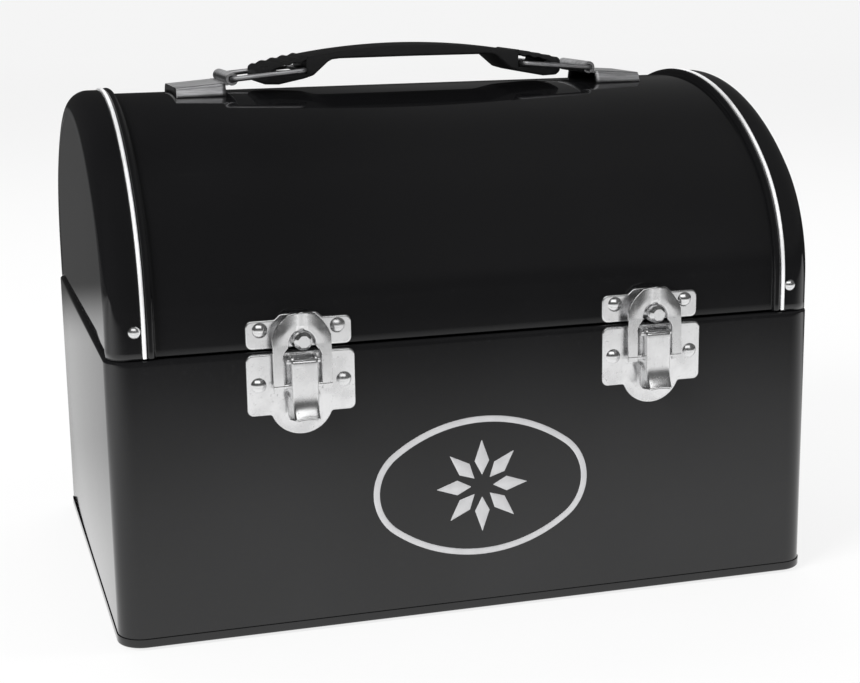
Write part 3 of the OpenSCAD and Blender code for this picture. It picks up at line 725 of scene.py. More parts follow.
class MakeBody(bpy.types.Operator):
    """Make the body's wall with its rolled rim, and the bottom pan with its folded seam"""

    bl_idname = "lunchbox.make_body"
    bl_label = "Body"

    def execute(self, context):
        s = lengths("body")
        top = WALL_HI[2]
        t, r = s.sheet, s.rim
        rim_z = top - r
        profile = join(
            line((0, t + 0.02), (0, rim_z - 6), (0, rim_z - 1)),
            arc(-r, rim_z, r, 0, 330, 31),
            arc(-r, rim_z, r - t, 320, 120, 17),
            line((-t, rim_z - 2.2), (-t, t + 0.02)),
        )
        wall = loft(round_body(profile), around=True, along=True)
        lap = rounded([(-5, s.seam + 1), (5, s.seam + 1), (5, rim_z - 2), (-5, rim_z - 2)], [0.4] * 4)

        def inside_back(x, z, out):
            return spread(x, WALL_HI[1] - out, z)

        joint = plate(lap, t - 0.1, 2 * t, 0.3, inside_back)
        piece("body_shell", [wall, joint], "enamel", "base", "body_wall")

        p = s.proud
        edge = 0.8
        gap = 0.03
        lip = (p - gap) / 2
        turn_in = 0.3
        pan = join(
            line((-19, s.panel), (-16, s.panel), (-13.5, 0), (p - edge - 2, 0)),
            arc(p - edge, edge, edge, 270, 360, 7),
            line((p, s.seam - 1.1)),
            arc(p - lip, s.seam - lip, lip, 0, 170, 8),
            line((gap, s.seam - 0.9), (gap, t), (-t - gap, t), (-t - gap, s.seam - turn_in)),
            arc(-t - gap - turn_in, s.seam - turn_in, turn_in, 0, 180, 6),
            line((-2 * t - gap, t + 0.6), (-2 * t - 0.5, t), (-13.5, t)),
            line((-16, t + s.panel), (-19, t + s.panel)),
        )
        floor = loft(round_body(pan).transpose(1, 0, 2), around=True, caps=True)
        piece("bottom_pan_pressed", [floor], "enamel", "base", "bottom_pan")
        return {"FINISHED"}


# ---- lid ----


def arch(foot, count=26):
    """Stations (y, z, normal y, normal z) over the dome, from the front foot to the back one.

    The sides are upright up to side_z, two shoulder arcs of radius shoulder follow, and a
    crown arc joins them where each shoulder has turned by the given angle.
    """
    s = lengths("lid")
    turn = bpy.context.scene.lunch_box.lid.turn
    half = DOME_HI[1] - s.bead_height
    crest = DOME_HI[2] - s.bead_height
    side_z = DOME_LO[2] + s.side
    rise = crest - side_z
    m = (1 - math.sin(turn)) / math.cos(turn)
    shoulder = (rise - half * m) / (1 - m)
    centre_y = half - shoulder
    crown = shoulder + centre_y / math.cos(turn)
    upright = np.linspace(foot, side_z, 6)[:-1]
    a = np.r_[
        np.zeros(len(upright)),
        np.linspace(0, turn, count, endpoint=False),
        np.linspace(turn, math.pi - turn, 2 * count),
        np.linspace(math.pi - turn, math.pi, count + 1)[1:],
        np.full(len(upright), math.pi),
    ]
    z0 = np.r_[upright, np.full(len(a) - 2 * len(upright), side_z), upright[::-1]]
    on_crown = (a >= turn - 1e-9) & (a <= math.pi - turn + 1e-9)
    middle = np.where(on_crown, 0, np.where(a < math.pi / 2, -centre_y, centre_y))
    radius = np.where(on_crown, crown, shoulder)
    z0 = np.where(on_crown, crest - crown, z0)
    ny, nz = -np.cos(a), np.sin(a)
    return np.stack([middle + radius * ny, z0 + radius * nz, ny, nz], 1)


def over_arch(section, foot):
    """Section (x, out) carried over the arch: (x, y + out ny, z + out nz) at each station."""
    y, z, ny, nz = arch(foot).T[:, :, None]
    x, out = np.array(section, float).T
    return spread(x, y + out * ny, z + out * nz)


def crown_at(y):
    """Height of the dome's crown at a distance y from the middle."""
    stations = arch(DOME_LO[2])
    return np.interp(y, stations[:, 0], stations[:, 1])


class MakeLid(bpy.types.Operator):
    """Make the domed sheet with its beads and hems, the end caps and the trim wires"""

    bl_idname = "lunchbox.make_lid"
    bl_label = "Lid"

    def execute(self, context):
        s = lengths("lid")
        t = lengths("body").sheet
        foot = DOME_LO[2]
        lap_out = s.cap_rise - t - 0.1
        trim_x = WIRE_HI[0] - s.wire
        bead_r = s.bead_width / 2
        bead_x = trim_x - s.wire - 0.05 - bead_r
        bead_z = s.bead_height - bead_r
        soft = 0.5
        half = join(
            line((0, 0), (bead_x - bead_r - soft - 0.6, 0), count=9),
            arc(bead_x - bead_r - soft, soft, soft, 270, 360, 6),
            arc(bead_x, bead_z, bead_r, 180, 2, 15),
            line((bead_x + bead_r, lap_out), (DOME_HI[0] - 2, lap_out), (DOME_HI[0], lap_out)),
        )
        section = join((half * [-1, 1])[:0:-1], half)
        sheet = over_arch(section, foot + t)
        hem = []
        for edge, inward in ((sheet[0], 1), (sheet[-1], -1)):
            turn = np.radians(np.linspace(180, 20, 9))[:, None]
            base = np.sign(-inward) * (DOME_HI[1] - s.bead_height)
            fold = base + (edge[:, 1] - base) * (1 + np.cos(turn)) / 2 + inward * t * (1 - np.cos(turn))
            rows = spread(edge[:, 0], fold, foot + t - t * np.sin(turn))
            lift = rows[:1].copy()
            lift[..., 2] = foot + s.hem
            rows = join(lift, rows)
            hem.append(rows if inward > 0 else rows[::-1])
        dome = loft(join(hem[0], sheet, hem[1]), centre=(0, 0, foot))
        piece("dome_sheet", [dome], "enamel", "lid", "lid_dome", wall=t)

        flange = trim_x + s.wire + 0.05
        edge_x = CAP_HI[0] - s.cap_edge
        low = s.cap_rise - s.cap_edge
        step = s.cap_step
        cap = join(
            line((flange, s.cap_rise - 0.25)),
            arc(flange + 0.3, s.cap_rise - 0.3, 0.3, 170, 90, 5),
            line((edge_x - 0.4, s.cap_rise)),
            arc(edge_x, low, s.cap_edge, 90, 0, 15),
            arc(CAP_HI[0] - step, low - 0.5, step, 0, -60, 4),
            line((CAP_HI[0] - step, low - 1.6), (CAP_HI[0] - step, low - 2.6)),
        )
        skin = over_arch(cap, foot)
        sheet_shell = loft(skin, centre=(0, 0, foot))
        face = disc(skin[:, -1], np.array([1.0, 0, 0]))
        wire_line = arch(foot + 0.4)
        rise = lap_out + s.wire + 0.1
        path = np.stack(
            [
                np.full(len(wire_line), trim_x),
                wire_line[:, 0] + rise * wire_line[:, 2],
                wire_line[:, 1] + rise * wire_line[:, 3],
            ],
            1,
        )
        wire = rod(path, (1, 0, 0), s.wire, count=20)
        for side, sign in SIDES:
            cap = [mirrored(sheet_shell, sign), mirrored(face, sign)]
            piece(f"{side}_cap_pressed", cap, "enamel", "lid", f"{side}_end_cap", wall=t)
            trim = [mirrored(wire, sign)]
            piece(f"{side}_wire_polished", trim, "wire", "lid", f"{side}_trim_wire")
        return {"FINISHED"}


# ---- rivets ----


class MakeRivets(bpy.types.Operator):
    """Make the domed rivets of the latches, the end caps and the hinge"""

    bl_idname = "lunchbox.make_rivets"
    bl_label = "Rivets"

    def execute(self, context):
        s = lengths("latch")
        groups = (
            ("catch_rivets", "lid", s.rivet, "nickel"),
            ("latch_base_rivets", "base", s.rivet, "nickel"),
            ("end_cap_rivets", "lid", s.small_rivet, "nickel"),
            ("hinge_body_rivets", "base", s.small_rivet, "hinge"),
            ("hinge_lid_rivets", "lid", s.small_rivet, "hinge"),
        )
        for node, body, radius, look in groups:
            lo, hi = corners_of(node)
            z = (lo[2] + hi[2]) / 2
            if node == "end_cap_rivets":
                ends = (lo[0] + radius, hi[0] - radius)
                faces = ((-1, ends), (1, ends))
            elif node.startswith("hinge"):
                faces = ((1, np.linspace(lo[0] + radius, hi[0] - radius, 4)),)
            else:
                plate_lo, plate_hi = corners_of("left_latch_base")
                middle = (plate_lo[0] + plate_hi[0]) / 2
                reach = middle - (lo[0] + radius)
                faces = ((-1, [c + e for c in (middle, -middle) for e in (-reach, reach)]),)
            shells = []
            for sign, places in faces:
                head = hi[1] if sign > 0 else -lo[1]
                for x in places:
                    at = (x, sign * (head - radius * 0.5), z)
                    shells.append(rivet(at, (0, sign, 0), radius, s.rivet_grip))
            piece(f"{node}_domed", shells, look, body, node)
        return {"FINISHED"}


# ---- latches ----


def latch_outlines(lo, hi, catch_lo, catch_hi):
    """Outlines of the base plate and the catch plate about the latch's middle, as (x, z)."""
    s = lengths("latch")
    half, r = (hi[0] - lo[0]) / 2, s.plate_corner
    top = hi[2]
    lobe_z = lo[2] + s.lobe
    low = top - 21
    inner = 1.0
    drop = lobe_z - (low - inner)
    across = math.sqrt((s.lobe + inner) ** 2 - drop**2)
    tilt = math.degrees(math.asin(drop / (s.lobe + inner)))
    upper = rounded([(half, low), (half, top), (-half, top), (-half, low)], [r] * 4)
    base = join(
        upper,
        arc(-across, low - inner, inner, 90, tilt, 6),
        arc(0, lobe_z, s.lobe, tilt - 180, -tilt, 31)[1:],
        arc(across, low - inner, inner, 180 - tilt, 90, 6)[1:],
    )
    c_half = (catch_hi[0] - catch_lo[0]) / 2
    z0, z1 = catch_lo[2], catch_lo[2] + 10
    ends = rounded(
        [
            (c_half, z0), (c_half, z1), (8.2, z1), (6.2, catch_hi[2]),
            (-6.2, catch_hi[2]), (-8.2, z1), (-c_half, z1), (-c_half, z0),
        ],
        [r, r, 0.8, 2.2, 2.2, 0.8, r, r],
    )
    return base, ends


def stud(centre, length):
    """Tapered stud with a flat end, its shoulder cut into eight flats: the radius at the
    shoulder is multiplied by 1 - k (1 - cos of the angle from the middle of its flat)."""
    s = lengths("latch")
    foot, end = s.stud_foot, s.stud_end
    profile = [
        (0.02, 0.0), (foot, 0.0), (foot + 0.25, 0.25), (foot + 0.1, 0.5), (foot - 0.2, length - 1.5),
        (foot - 0.3, length - 1.25), (end + 0.2, length - 0.8), (end - 0.25, length - 0.15),
        (end - 0.4, length), (0.02, length),
    ]
    flat = np.array([0, 0, 0, 0, 0, 0.25, 1, 1, 1, 0])
    t = np.linspace(0, 2 * math.pi, 64, endpoint=False)
    from_flat = (t + math.pi / 8) % (math.pi / 4) - math.pi / 8
    cut = math.cos(math.pi / 8) / np.cos(from_flat)
    r, h = np.array(profile, float).T
    radius = r[:, None] * (1 - flat[:, None] * (1 - cut))
    x = centre[0] + radius * np.cos(t)
    z = centre[2] + radius * np.sin(t)
    y = np.broadcast_to(centre[1] - h[:, None], x.shape)
    return loft(np.stack([x, y, z], -1), around=True, caps=True)


def loop_band(x0, lo, hi, out):
    """The loop as a band from one foot over the arch to the other.

    A point is inner + a (outer - inner), raised by the section's height. Over the window a
    crease of height c min(1, max(0, 1.5 - |x| / 1.3)) is pressed outward, and the shoulders lean back.
    """
    s = lengths("latch")
    half = (hi[0] - lo[0]) / 2
    foot, top = lo[2] + 0.2, hi[2]
    w = s.window
    mid = top - w - 6.4
    leg = half - s.leg
    turn = np.array([8, 30, 52, 72, 90])
    edge_in = join(
        line((leg, foot), (leg, mid - 3.6), (leg - 0.5, mid - 2.4), (w, mid - 0.9)),
        np.stack([w * np.cos(np.radians(turn)), mid + w * np.sin(np.radians(turn))], 1),
    )
    edge_out = line(
        (half, foot), (half, mid - 3.6), (half, mid - 2.4), (half, mid - 0.9), (half, mid + 2.6),
        (half - 0.9, mid + 4.8), (half - 2.7, mid + 7.4), (half - 5.6, top - 0.9), (0, top),
    )
    spread = np.concatenate([np.linspace(i, i + 1, 7)[:-1] for i in range(8)] + [[8]])
    node = np.arange(9)
    inner = np.stack([np.interp(spread, node, edge_in[:, k]) for k in (0, 1)], 1)
    outer = np.stack([np.interp(spread, node, edge_out[:, k]) for k in (0, 1)], 1)
    w_in = np.hypot(*(inner - [0, mid]).T)
    keep = spread >= 4
    direction = (inner - [0, mid]) / w_in[:, None]
    inner[keep] = ([0, mid] + w * direction)[keep]
    inner = join(inner, (inner * [-1, 1])[-2::-1])
    outer = join(outer, (outer * [-1, 1])[-2::-1])
    thick = 1.2
    r = 0.38
    across = np.linspace(0.1, 0.9, 9)
    quarter = np.radians(np.linspace(90, 0, 5))
    over = np.linalg.norm(outer - inner, axis=1)[:, None]
    left = r * (1 - np.cos(quarter))[None] / over
    high = thick / 2 - r + r * np.sin(quarter)
    a_top = np.concatenate([left[:, ::-1], np.repeat(across[None], len(over), 0), 1 - left], 1)
    h_top = join(high[::-1], np.full(9, thick / 2), high)
    a = np.concatenate([a_top, a_top[:, ::-1]], 1)
    h = join(h_top, -h_top[::-1])[None] * np.ones_like(a)
    x = inner[:, None, 0] + a * (outer - inner)[:, None, 0]
    z = inner[:, None, 1] + a * (outer - inner)[:, None, 1]
    front_side = h > 0
    above = np.clip((z - mid - w * 0.8) / 2.0, 0, 1)
    h = h + front_side * s.crease * np.clip(1.5 - np.abs(x) / 1.3, 0, 1) * above
    lean = np.clip(np.hypot(x, z - mid) - w - 2.2, 0, 9) * np.clip((z - mid) / 5, 0, 1)
    h = h - 0.2 * lean * np.clip(np.abs(x) / 4.5 - 0.35, 0, 1)
    bow = 0.45 * np.cos(math.pi / 2 * np.clip((z - foot) / (mid - foot), 0, 1))
    return loft(front(x0 + x, z, out + h + bow), around=True, caps=True)


def lever_shell(x0, lo, hi, pivot_out):
    """Channel-shaped lever: its spine runs down the face, and each row goes from one cheek's
    back edge round the corner, across the face and round to the other cheek.

    The tail flares out on an arc of the flare radius, and its lower end is hollowed by
    hollow (1 - (x / half)^2).
    """
    s = lengths("latch")
    half = (hi[0] - lo[0]) / 2
    top, tail = hi[2] - 0.3, lo[2] + 1.5
    lean = 1.0
    face = pivot_out + 3.2
    flare_z = tail + s.flare * 0.57
    curl = 1.3
    z_face = join(np.linspace(top - curl, flare_z, 13), np.linspace(flare_z, tail, 15)[1:])
    drop = np.clip(flare_z - z_face, 0, None)
    u_face = face + s.flare - np.sqrt(s.flare**2 - drop**2)
    bend = np.radians(np.linspace(90, 0, 8))[:-1]
    spine_u = join([face - curl - 1.6], face - curl + curl * np.cos(bend), u_face)
    spine_z = join([top], top - curl + curl * np.sin(bend), z_face)
    back_line = np.array(
        [
            (top, pivot_out - 1.6), (top - 2.6, 1.7), (top - 11.6, 1.7), (top - 12.2, pivot_out + 0.3),
            (top - 13.4, pivot_out + 0.4), (top - 14.6, pivot_out - 1), (top - 19.4, pivot_out - 1.3),
            (top - 20.6, face - 1.2), (tail, face + 1.2),
        ]
    )
    back_z = np.interp(-spine_z, -back_line[:, 0], back_line[:, 1])
    deep = np.maximum(spine_u - back_z, 0.9)
    r = np.minimum(0.95, deep * 0.9)
    q = np.radians(np.linspace(0, 90, 6))
    e = np.linspace(1, 0, 5)[:-1]
    taper = 1 - 0.05 * np.clip(drop / drop.max(), 0, 1)
    width = (half - lean) * join(np.ones(len(spine_u) - len(taper)), taper)
    u_cheek = spine_u[:, None] - r[:, None] - (deep - r)[:, None] * e
    x_cheek = -width[:, None] - lean * e
    u_corner = spine_u[:, None] - r[:, None] + r[:, None] * np.sin(q)
    x_corner = -width[:, None] + r[:, None] * (1 - np.cos(q))
    across = np.linspace(-1, 1, 9)[1:-1]
    x_face = (width - r)[:, None] * across
    u_flat = np.repeat(spine_u[:, None], len(across), 1)
    x = np.concatenate([x_cheek, x_corner, x_face, -x_corner[:, ::-1], -x_cheek[:, ::-1]], 1)
    u = np.concatenate([u_cheek, u_corner, u_flat, u_corner[:, ::-1], u_cheek[:, ::-1]], 1)
    hollow = join(np.zeros(len(spine_u) - len(drop)), (drop / drop.max()) ** 2)
    z = spine_z[:, None] + s.hollow * hollow[:, None] * (1 - (x / half) ** 2)
    middle = (x0, WALL_LO[1] - pivot_out, (top + tail) / 2)
    return loft(front(x0 + x, z, u), centre=middle)


class MakeLatches(bpy.types.Operator):
    """Make the catch plates, studs, base plates with their ears, levers, loops and pins"""

    bl_idname = "lunchbox.make_latches"
    bl_label = "Latches"

    def execute(self, context):
        s = lengths("latch")
        for side, _ in SIDES:
            lo, hi = corners_of(f"{side}_latch_base")
            x0 = (lo[0] + hi[0]) / 2
            c_lo, c_hi = corners_of(f"{side}_catch_plate")
            s_lo, s_hi = corners_of(f"{side}_catch_stud")
            stud_z = (s_lo[2] + s_hi[2]) / 2
            l_lo, l_hi = corners_of(f"{side}_loop")
            v_lo, v_hi = corners_of(f"{side}_lever")
            p_lo, p_hi = corners_of(f"{side}_lever_pin")
            q_lo, q_hi = corners_of(f"{side}_loop_pin")
            pivot_out = WALL_LO[1] - (p_lo[1] + p_hi[1]) / 2
            loop_out = WALL_LO[1] - (q_lo[1] + q_hi[1]) / 2
            base, catch = latch_outlines(lo, hi, c_lo, c_hi)

            def at_latch(x, z, out, x0=x0):
                return front(x0 + x, z, out)

            ear_z = (p_lo[2] + p_hi[2]) / 2
            shells = [plate(base, 0.02, s.plate, s.plate_edge, at_latch)]
            ear = join(
                arc(pivot_out, ear_z, 2.3, 90, -90, 13),
                line(
                    (s.plate * 0.6, ear_z - 2.3),
                    (s.plate * 0.6, ear_z + 0.8),
                    (pivot_out - 1.2, ear_z + 2.0),
                ),
            )
            for e in (-1, 1):
                inner = p_hi[0] - (p_lo[0] + p_hi[0]) / 2 - 0.25 - s.lever_sheet - 0.3

                def across(u, z, depth, e=e, x0=x0, inner=inner):
                    return front(x0 + e * (inner - 0.8 + depth), z, u)

                shells.append(plate(ear, 0, 0.8, 0.2, across))
            piece(f"{side}_base_plate", shells, "nickel", "base", f"{side}_latch_base")

            c_out = WALL_LO[1] - c_hi[1]
            shells = [plate(catch, c_out, c_out + s.plate, s.plate_edge, at_latch)]
            piece(f"{side}_catch", shells, "nickel", "lid", f"{side}_catch_plate")

            shells = [stud((x0, c_lo[1], stud_z), c_lo[1] - s_lo[1])]
            shells.append(pin((x0, s_hi[1], stud_z), (x0, c_lo[1] - 0.5, stud_z), 1.5, 0.1))
            shells.append(pin((x0, s_hi[1], stud_z), (x0, s_hi[1] - 0.9, stud_z), 2.6, 0.3))
            piece(f"{side}_stud", shells, "nickel", "lid", f"{side}_catch_stud")

            shells = [loop_band(x0, l_lo, l_hi, loop_out)]
            for e in (-1, 1):
                outer = (l_hi[0] - l_lo[0]) / 2
                a = (x0 + e * outer, WALL_LO[1] - loop_out, (q_lo[2] + q_hi[2]) / 2)
                b = (x0 + e * (outer - s.leg), a[1], a[2])
                shells.append(pin(a, b, 1.1, 0.3))
            piece(f"{side}_loop_pressed", shells, "nickel", f"{side}_loop", f"{side}_loop")

            shells = [lever_shell(x0, v_lo, v_hi, pivot_out)]
            name, node = f"{side}_lever_bent", f"{side}_lever"
            piece(name, shells, "nickel", node, node, wall=s.lever_sheet)
            for node, box, body in (
                (f"{side}_lever_pin", (p_lo, p_hi), "base"),
                (f"{side}_loop_pin", (q_lo, q_hi), f"{side}_lever"),
            ):
                a, b = box
                y, z, r = (a[1] + b[1]) / 2, (a[2] + b[2]) / 2, (b[2] - a[2]) / 2
                shells = [pin((a[0], y, z), (b[0], y, z), r)]
                piece(f"{node}_round", shells, "nickel", body, node)
        return {"FINISHED"}


# ---- handle ----


def bracket_shell(tip_x, knuckle):
    """Ramp of sheet over the crown: each row runs from one foot on the dome up its side,
    across the top and down the other. The last rows fall to the dome and close the tip."""
    top_half = 14.0
    flare = 1.4
    x_in, x_tip = knuckle[0] + 2.5, tip_x - 0.15
    z_in, z_tip = knuckle[1] - 1.2, crown_at(0) + 2.4
    fall = np.array([0, 0.06, 0.25, 0.55, 1.0])
    round_tip = np.array([0.5, 0.85, 1, 1, 1])
    x = join(np.linspace(x_in, x_tip - 0.2, 12), x_tip - 0.2 * (1 - round_tip))
    z_top = np.interp(x, [x_in, x_tip], [z_in, z_tip])
    drop = join(np.zeros(12), fall)
    lean = np.linspace(1, 0, 5)[:-1]
    q = np.radians(np.linspace(0, 90, 6))
    r = 0.9
    y_side = join(-(top_half + flare * lean), -top_half + r * (1 - np.cos(q)))
    y = join(y_side, np.linspace(-top_half + 3, top_half - 3, 7), -y_side[::-1])
    up_side = join(1 - lean, np.ones(len(q)))
    cut = join(np.zeros(len(lean)), r * (1 - np.sin(q)))
    up = join(up_side, np.ones(7), up_side[::-1])
    cut = join(cut, np.zeros(7), cut[::-1])
    ground = crown_at(y) + 0.12
    height = np.maximum(z_top[:, None] - cut - ground, 0.12) * (1 - drop[:, None]) * up
    z = ground + height
    z = np.maximum(z, ground)
    grid = spread(x[:, None], y, z)
    return loft(grid, centre=((x_in + x_tip) / 2, 0, crown_at(0) - 4))


def knuckle_shell(knuckle, width):
    """Rolled knuckle: a tube along Y with rounded rims, its ring (r, y) turned about the pin."""
    s = lengths("handle")
    outer, bore, soft = 2.3, s.bore, 0.25
    half = width / 2
    ring = join(
        line((outer, 0), (outer, half - soft)),
        arc(outer - soft, half - soft, soft, 0, 90, 5),
        arc(bore + soft, half - soft, soft, 90, 180, 5),
        line((bore, 0)),
    )
    ring = join(ring, (ring * [1, -1])[::-1])
    t = np.linspace(0, 2 * math.pi, 40, endpoint=False)[:, None]
    x = knuckle[0] + ring[:, 0] * np.cos(t)
    z = knuckle[1] + ring[:, 0] * np.sin(t)
    y = np.broadcast_to(ring[:, 1], x.shape)
    return loft(np.stack([x, y, z], -1), around=True, along=True)


def grip_block(x, low, high, half, r_low, r_high, caps=True):
    """Bar along X with rounded long edges: at each x, a ring of four quarter arcs between
    the heights low and high and the half width."""
    limit = (high - low) / 2 * 0.96
    ring = []
    for cy, top, start in ((1, True, 0), (-1, True, 90), (-1, False, 180), (1, False, 270)):
        r = np.minimum(np.where(top, r_high, r_low), np.minimum(limit, half * 0.96))[:, None]
        t = np.radians(np.linspace(start, start + 90, 6))
        y = cy * (half[:, None] - r) + r * np.cos(t)
        z = (high[:, None] - r if top else low[:, None] + r) + r * np.sin(t)
        ring.append(spread(x[:, None], y, z))
    return loft(np.concatenate(ring, 1), around=True, caps=caps)


class MakeHandle(bpy.types.Operator):
    """Make the brackets with their rolled knuckles, the link wires and the moulded grip"""

    bl_idname = "lunchbox.make_handle"
    bl_label = "Handle"

    def execute(self, context):
        s = lengths("handle")
        _, hi = corners_of("right_bracket")
        k_lo, k_hi = corners_of("right_link")
        g_lo, g_hi = corners_of("grip")
        knuckle = (k_hi[0] - s.wire, k_lo[2] + s.wire)
        width = 28.0
        ramp = bracket_shell(hi[0], knuckle)
        roll = knuckle_shell(knuckle, width)
        tongue = grip_block(
            np.array([knuckle[0] + 1.3, knuckle[0] + 3.4]),
            np.full(2, knuckle[1] - 2.2),
            np.full(2, knuckle[1] - 1.2),
            np.full(2, width / 2 - 0.3),
            0.1,
            0.1,
        )
        rise = (k_hi[2] - k_lo[2]) - 2 * s.wire
        run = (k_hi[0] - k_lo[0]) - 2 * s.wire
        bar = (knuckle[0] - run, knuckle[1] + rise)
        half_y = k_hi[1] - s.wire
        length = math.hypot(run, rise)
        flat = rounded([(0, half_y), (length, half_y), (length, -half_y), (0, -half_y)], [1.6] * 4, 9)
        sides = [line(a, b, count=5)[1:-1] for a, b in zip(flat[8::9], np.roll(flat[::9], -1, 0))]
        flat = np.concatenate([join(flat[9 * i : 9 * i + 9], sides[i]) for i in range(4)])
        path = np.stack(
            [
                knuckle[0] - flat[:, 0] * run / length,
                flat[:, 1],
                knuckle[1] + flat[:, 0] * rise / length,
            ],
            1,
        )
        normal = np.array([rise, 0, run]) / length
        wire = rod(path, normal, s.wire, closed=True, count=18)
        for side, sign in SIDES:
            ramps = [mirrored(ramp, sign)]
            bracket = f"{side}_bracket"
            piece(f"{bracket}_ramp", ramps, "bracket", "lid", bracket, wall=s.bracket_sheet)
            rolls = [mirrored(roll, sign), mirrored(tongue, sign)]
            piece(f"{bracket}_knuckle", rolls, "bracket", "lid", bracket)
            link = f"{side}_link"
            piece(f"{link}_wire", [mirrored(wire, sign)], "bracket", link, link)

        top = g_hi[2]
        end = g_hi[0]
        belly = g_lo[2]
        half = g_hi[1]
        bar_x, bar_z = bar

        def crest(x):
            """Top of the grip: the crown's arc, with waves |cos|^1.6 over the ends."""
            out = np.abs(x)
            waves = np.clip((out - (bar_x - 3.5)) / 2, 0, 1) * np.clip((end + 0.5 - out) / 3, 0, 1)
            wave = np.abs(np.cos(math.pi * (out - (bar_x - 1)) / 4.1)) ** 1.6
            return top - s.crown + np.sqrt(s.crown**2 - x * x) + s.rib * (waves * wave - 0.2 * waves)

        def under(x):
            """Underside of the grip: straight runs between a thin middle and deep ends."""
            thin = [(0, 4.2), (bar_x - 14, 4.3), (bar_x - 11, 4.6), (bar_x - 9.4, 5.4)]
            deep = [(bar_x - 3.8, 2.9), (bar_x, 1.8), (end - 8, 0), (end - 2.8, 0.2), (end, 1.6)]
            places, heights = zip(*[(p, top - h) for p, h in thin], *[(p, belly + h) for p, h in deep])
            return np.interp(np.abs(x), places, heights)

        def half_at(x):
            """Half width of the grip, drawn in on a quarter circle at its ends."""
            near = np.clip(np.abs(x) - (end - s.corner), 0, s.corner)
            return half - s.corner + np.sqrt(np.maximum(s.corner**2 - near**2, 0.01))

        slot_low = bar_z - s.wire - 0.3
        slot_in = bar_x - s.wire - 0.3
        slot_out = end - 4.4
        shells = []
        x = np.linspace(-slot_in, slot_in, 121)
        shells.append(grip_block(x, under(x), crest(x), half_at(x), 1.1, s.soft))
        x = np.linspace(slot_in - 0.3, slot_out + 0.2, 61)
        fall = np.interp(x, [slot_in, slot_out - 3, slot_out], [0, 0, crest(slot_out) - 1.6 - slot_low])
        upper = grip_block(x, crest(x) - 1.6 - fall, crest(x), half_at(x), 0.5, 1.0)
        lower = grip_block(x, under(x), np.full(len(x), slot_low), half_at(x), 1.1, 0.5)
        blunt = 0.9
        tip = end - blunt * (1 - np.sin(np.radians(np.linspace(10, 90, 8))))
        x = join(np.linspace(slot_out, end - blunt, 15), tip)
        nose = 1.2 * (1 - np.sqrt(np.clip(1 - ((x - (end - blunt)).clip(0) / blunt) ** 2, 0, 1)))
        block = grip_block(x, under(x) + nose, crest(x) - nose, half_at(x) - nose * 0.5, 1.1, s.soft)
        z = np.array([slot_low - 0.4, crest(end - 6) - 1.4])
        shear = np.array([end - 7.0, end - 5.6])
        y = np.array([-half + 0.4, half - 0.4])
        strut = []
        for dx, dy in ((-0.9, 0), (0.9, 0), (0.9, 1), (-0.9, 1)):
            strut.append(np.stack([shear + dx, np.full(2, y[dy]), z], -1))
        bar_mesh = loft(np.stack(strut, 1), around=True, caps=True)
        for sign in (-1, 1):
            shells += [mirrored(b, sign) for b in (upper, lower, block, bar_mesh)]
        piece("grip_moulded", shells, "grip", "grip", "grip", sharp=50)
        return {"FINISHED"}


# ---- badge ----


class MakeBadge(bpy.types.Operator):
    """Make the badge: a thin oval field, its raised ring and a plain rosette of eight petals"""

    bl_idname = "lunchbox.make_badge"
    bl_label = "Badge"

    def execute(self, context):
        lo, hi = corners_of("badge_plate")
        a, b = (hi[0] - lo[0]) / 2, (hi[2] - lo[2]) / 2
        z0 = (lo[2] + hi[2]) / 2

        def at_badge(x, z, out):
            return front(x, z0 + z, out)

        rim = oval(a, b, 18)
        field = plate(rim, 0.02, 0.35, 0.2, at_badge)
        piece("badge_field", [field], "enamel", "base", "badge_plate")
        n = outward(rim)
        t = np.radians(np.linspace(180, 0, 9))
        flat, band = 0.6, 1.1
        along = band * (np.sign(np.cos(t)) * np.abs(np.cos(t)) ** flat - 1)
        profile = np.stack([along, 0.3 + 0.4 * np.sin(t) ** flat], 1)
        profile = join(profile, [[0, 0.1], [-2 * band, 0.1]])
        x = rim[:, None, 0] + profile[:, 0] * n[:, None, 0]
        z = rim[:, None, 1] + profile[:, 0] * n[:, None, 1]
        ring = loft(at_badge(x, z, profile[:, 1]), around=True, along=True)
        shells = [ring]
        along = np.array([-0.98, -0.6, -0.2, 0, 0.3, 0.65, 0.98])
        reach = np.where(along < 0, 9 + 5 * along, 9 + 7.5 * along)
        wide = 2.6 * (1 - np.abs(along)) + 0.05
        across = np.array([-1, -0.92, 0, 0.92, 1, 1, -1])
        rise = np.array([0.4, 0.48, 0.7, 0.48, 0.4, 0.1, 0.1])
        for turn in np.radians(np.arange(0, 360, 45)):
            r, w = reach[:, None], wide[:, None] * across
            shells.append(
                loft(
                    at_badge(
                        r * math.cos(turn) - w * math.sin(turn),
                        r * math.sin(turn) + w * math.cos(turn),
                        rise,
                    ),
                    around=True,
                    caps=True,
                )
            )
        piece("badge_mark", shells, "badge", "base", "badge_plate", sharp=20)
        return {"FINISHED"}


class DressHinge(bpy.types.Operator):
    """Give the piano hinge's leaves and pin their steel finish"""

    bl_idname = "lunchbox.dress_hinge"
    bl_label = "Hinge"

    def execute(self, context):
        for node in ("hinge_body_leaf", "hinge_lid_leaf", "hinge_pin"):
            mesh = frame["nodes"][node].data
            mesh.materials.clear()
            mesh.materials.append(finish("hinge"))
        return {"FINISHED"}


# ---- stage ----


def soft_light(name, place, aim, width, height, power):
    """Rectangular area light at place, facing aim, all in metres."""
    lamp = bpy.data.lights.new(name, "AREA")
    lamp.shape = "RECTANGLE"
    lamp.size, lamp.size_y, lamp.energy = width, height, power
    obj = bpy.data.objects.new(name, lamp)
    obj.location = place
    obj.rotation_mode = "QUATERNION"
    obj.rotation_quaternion = (Vector(aim) - Vector(place)).to_track_quat("-Z", "Y")
    bpy.context.scene.collection.objects.link(obj)
    return obj


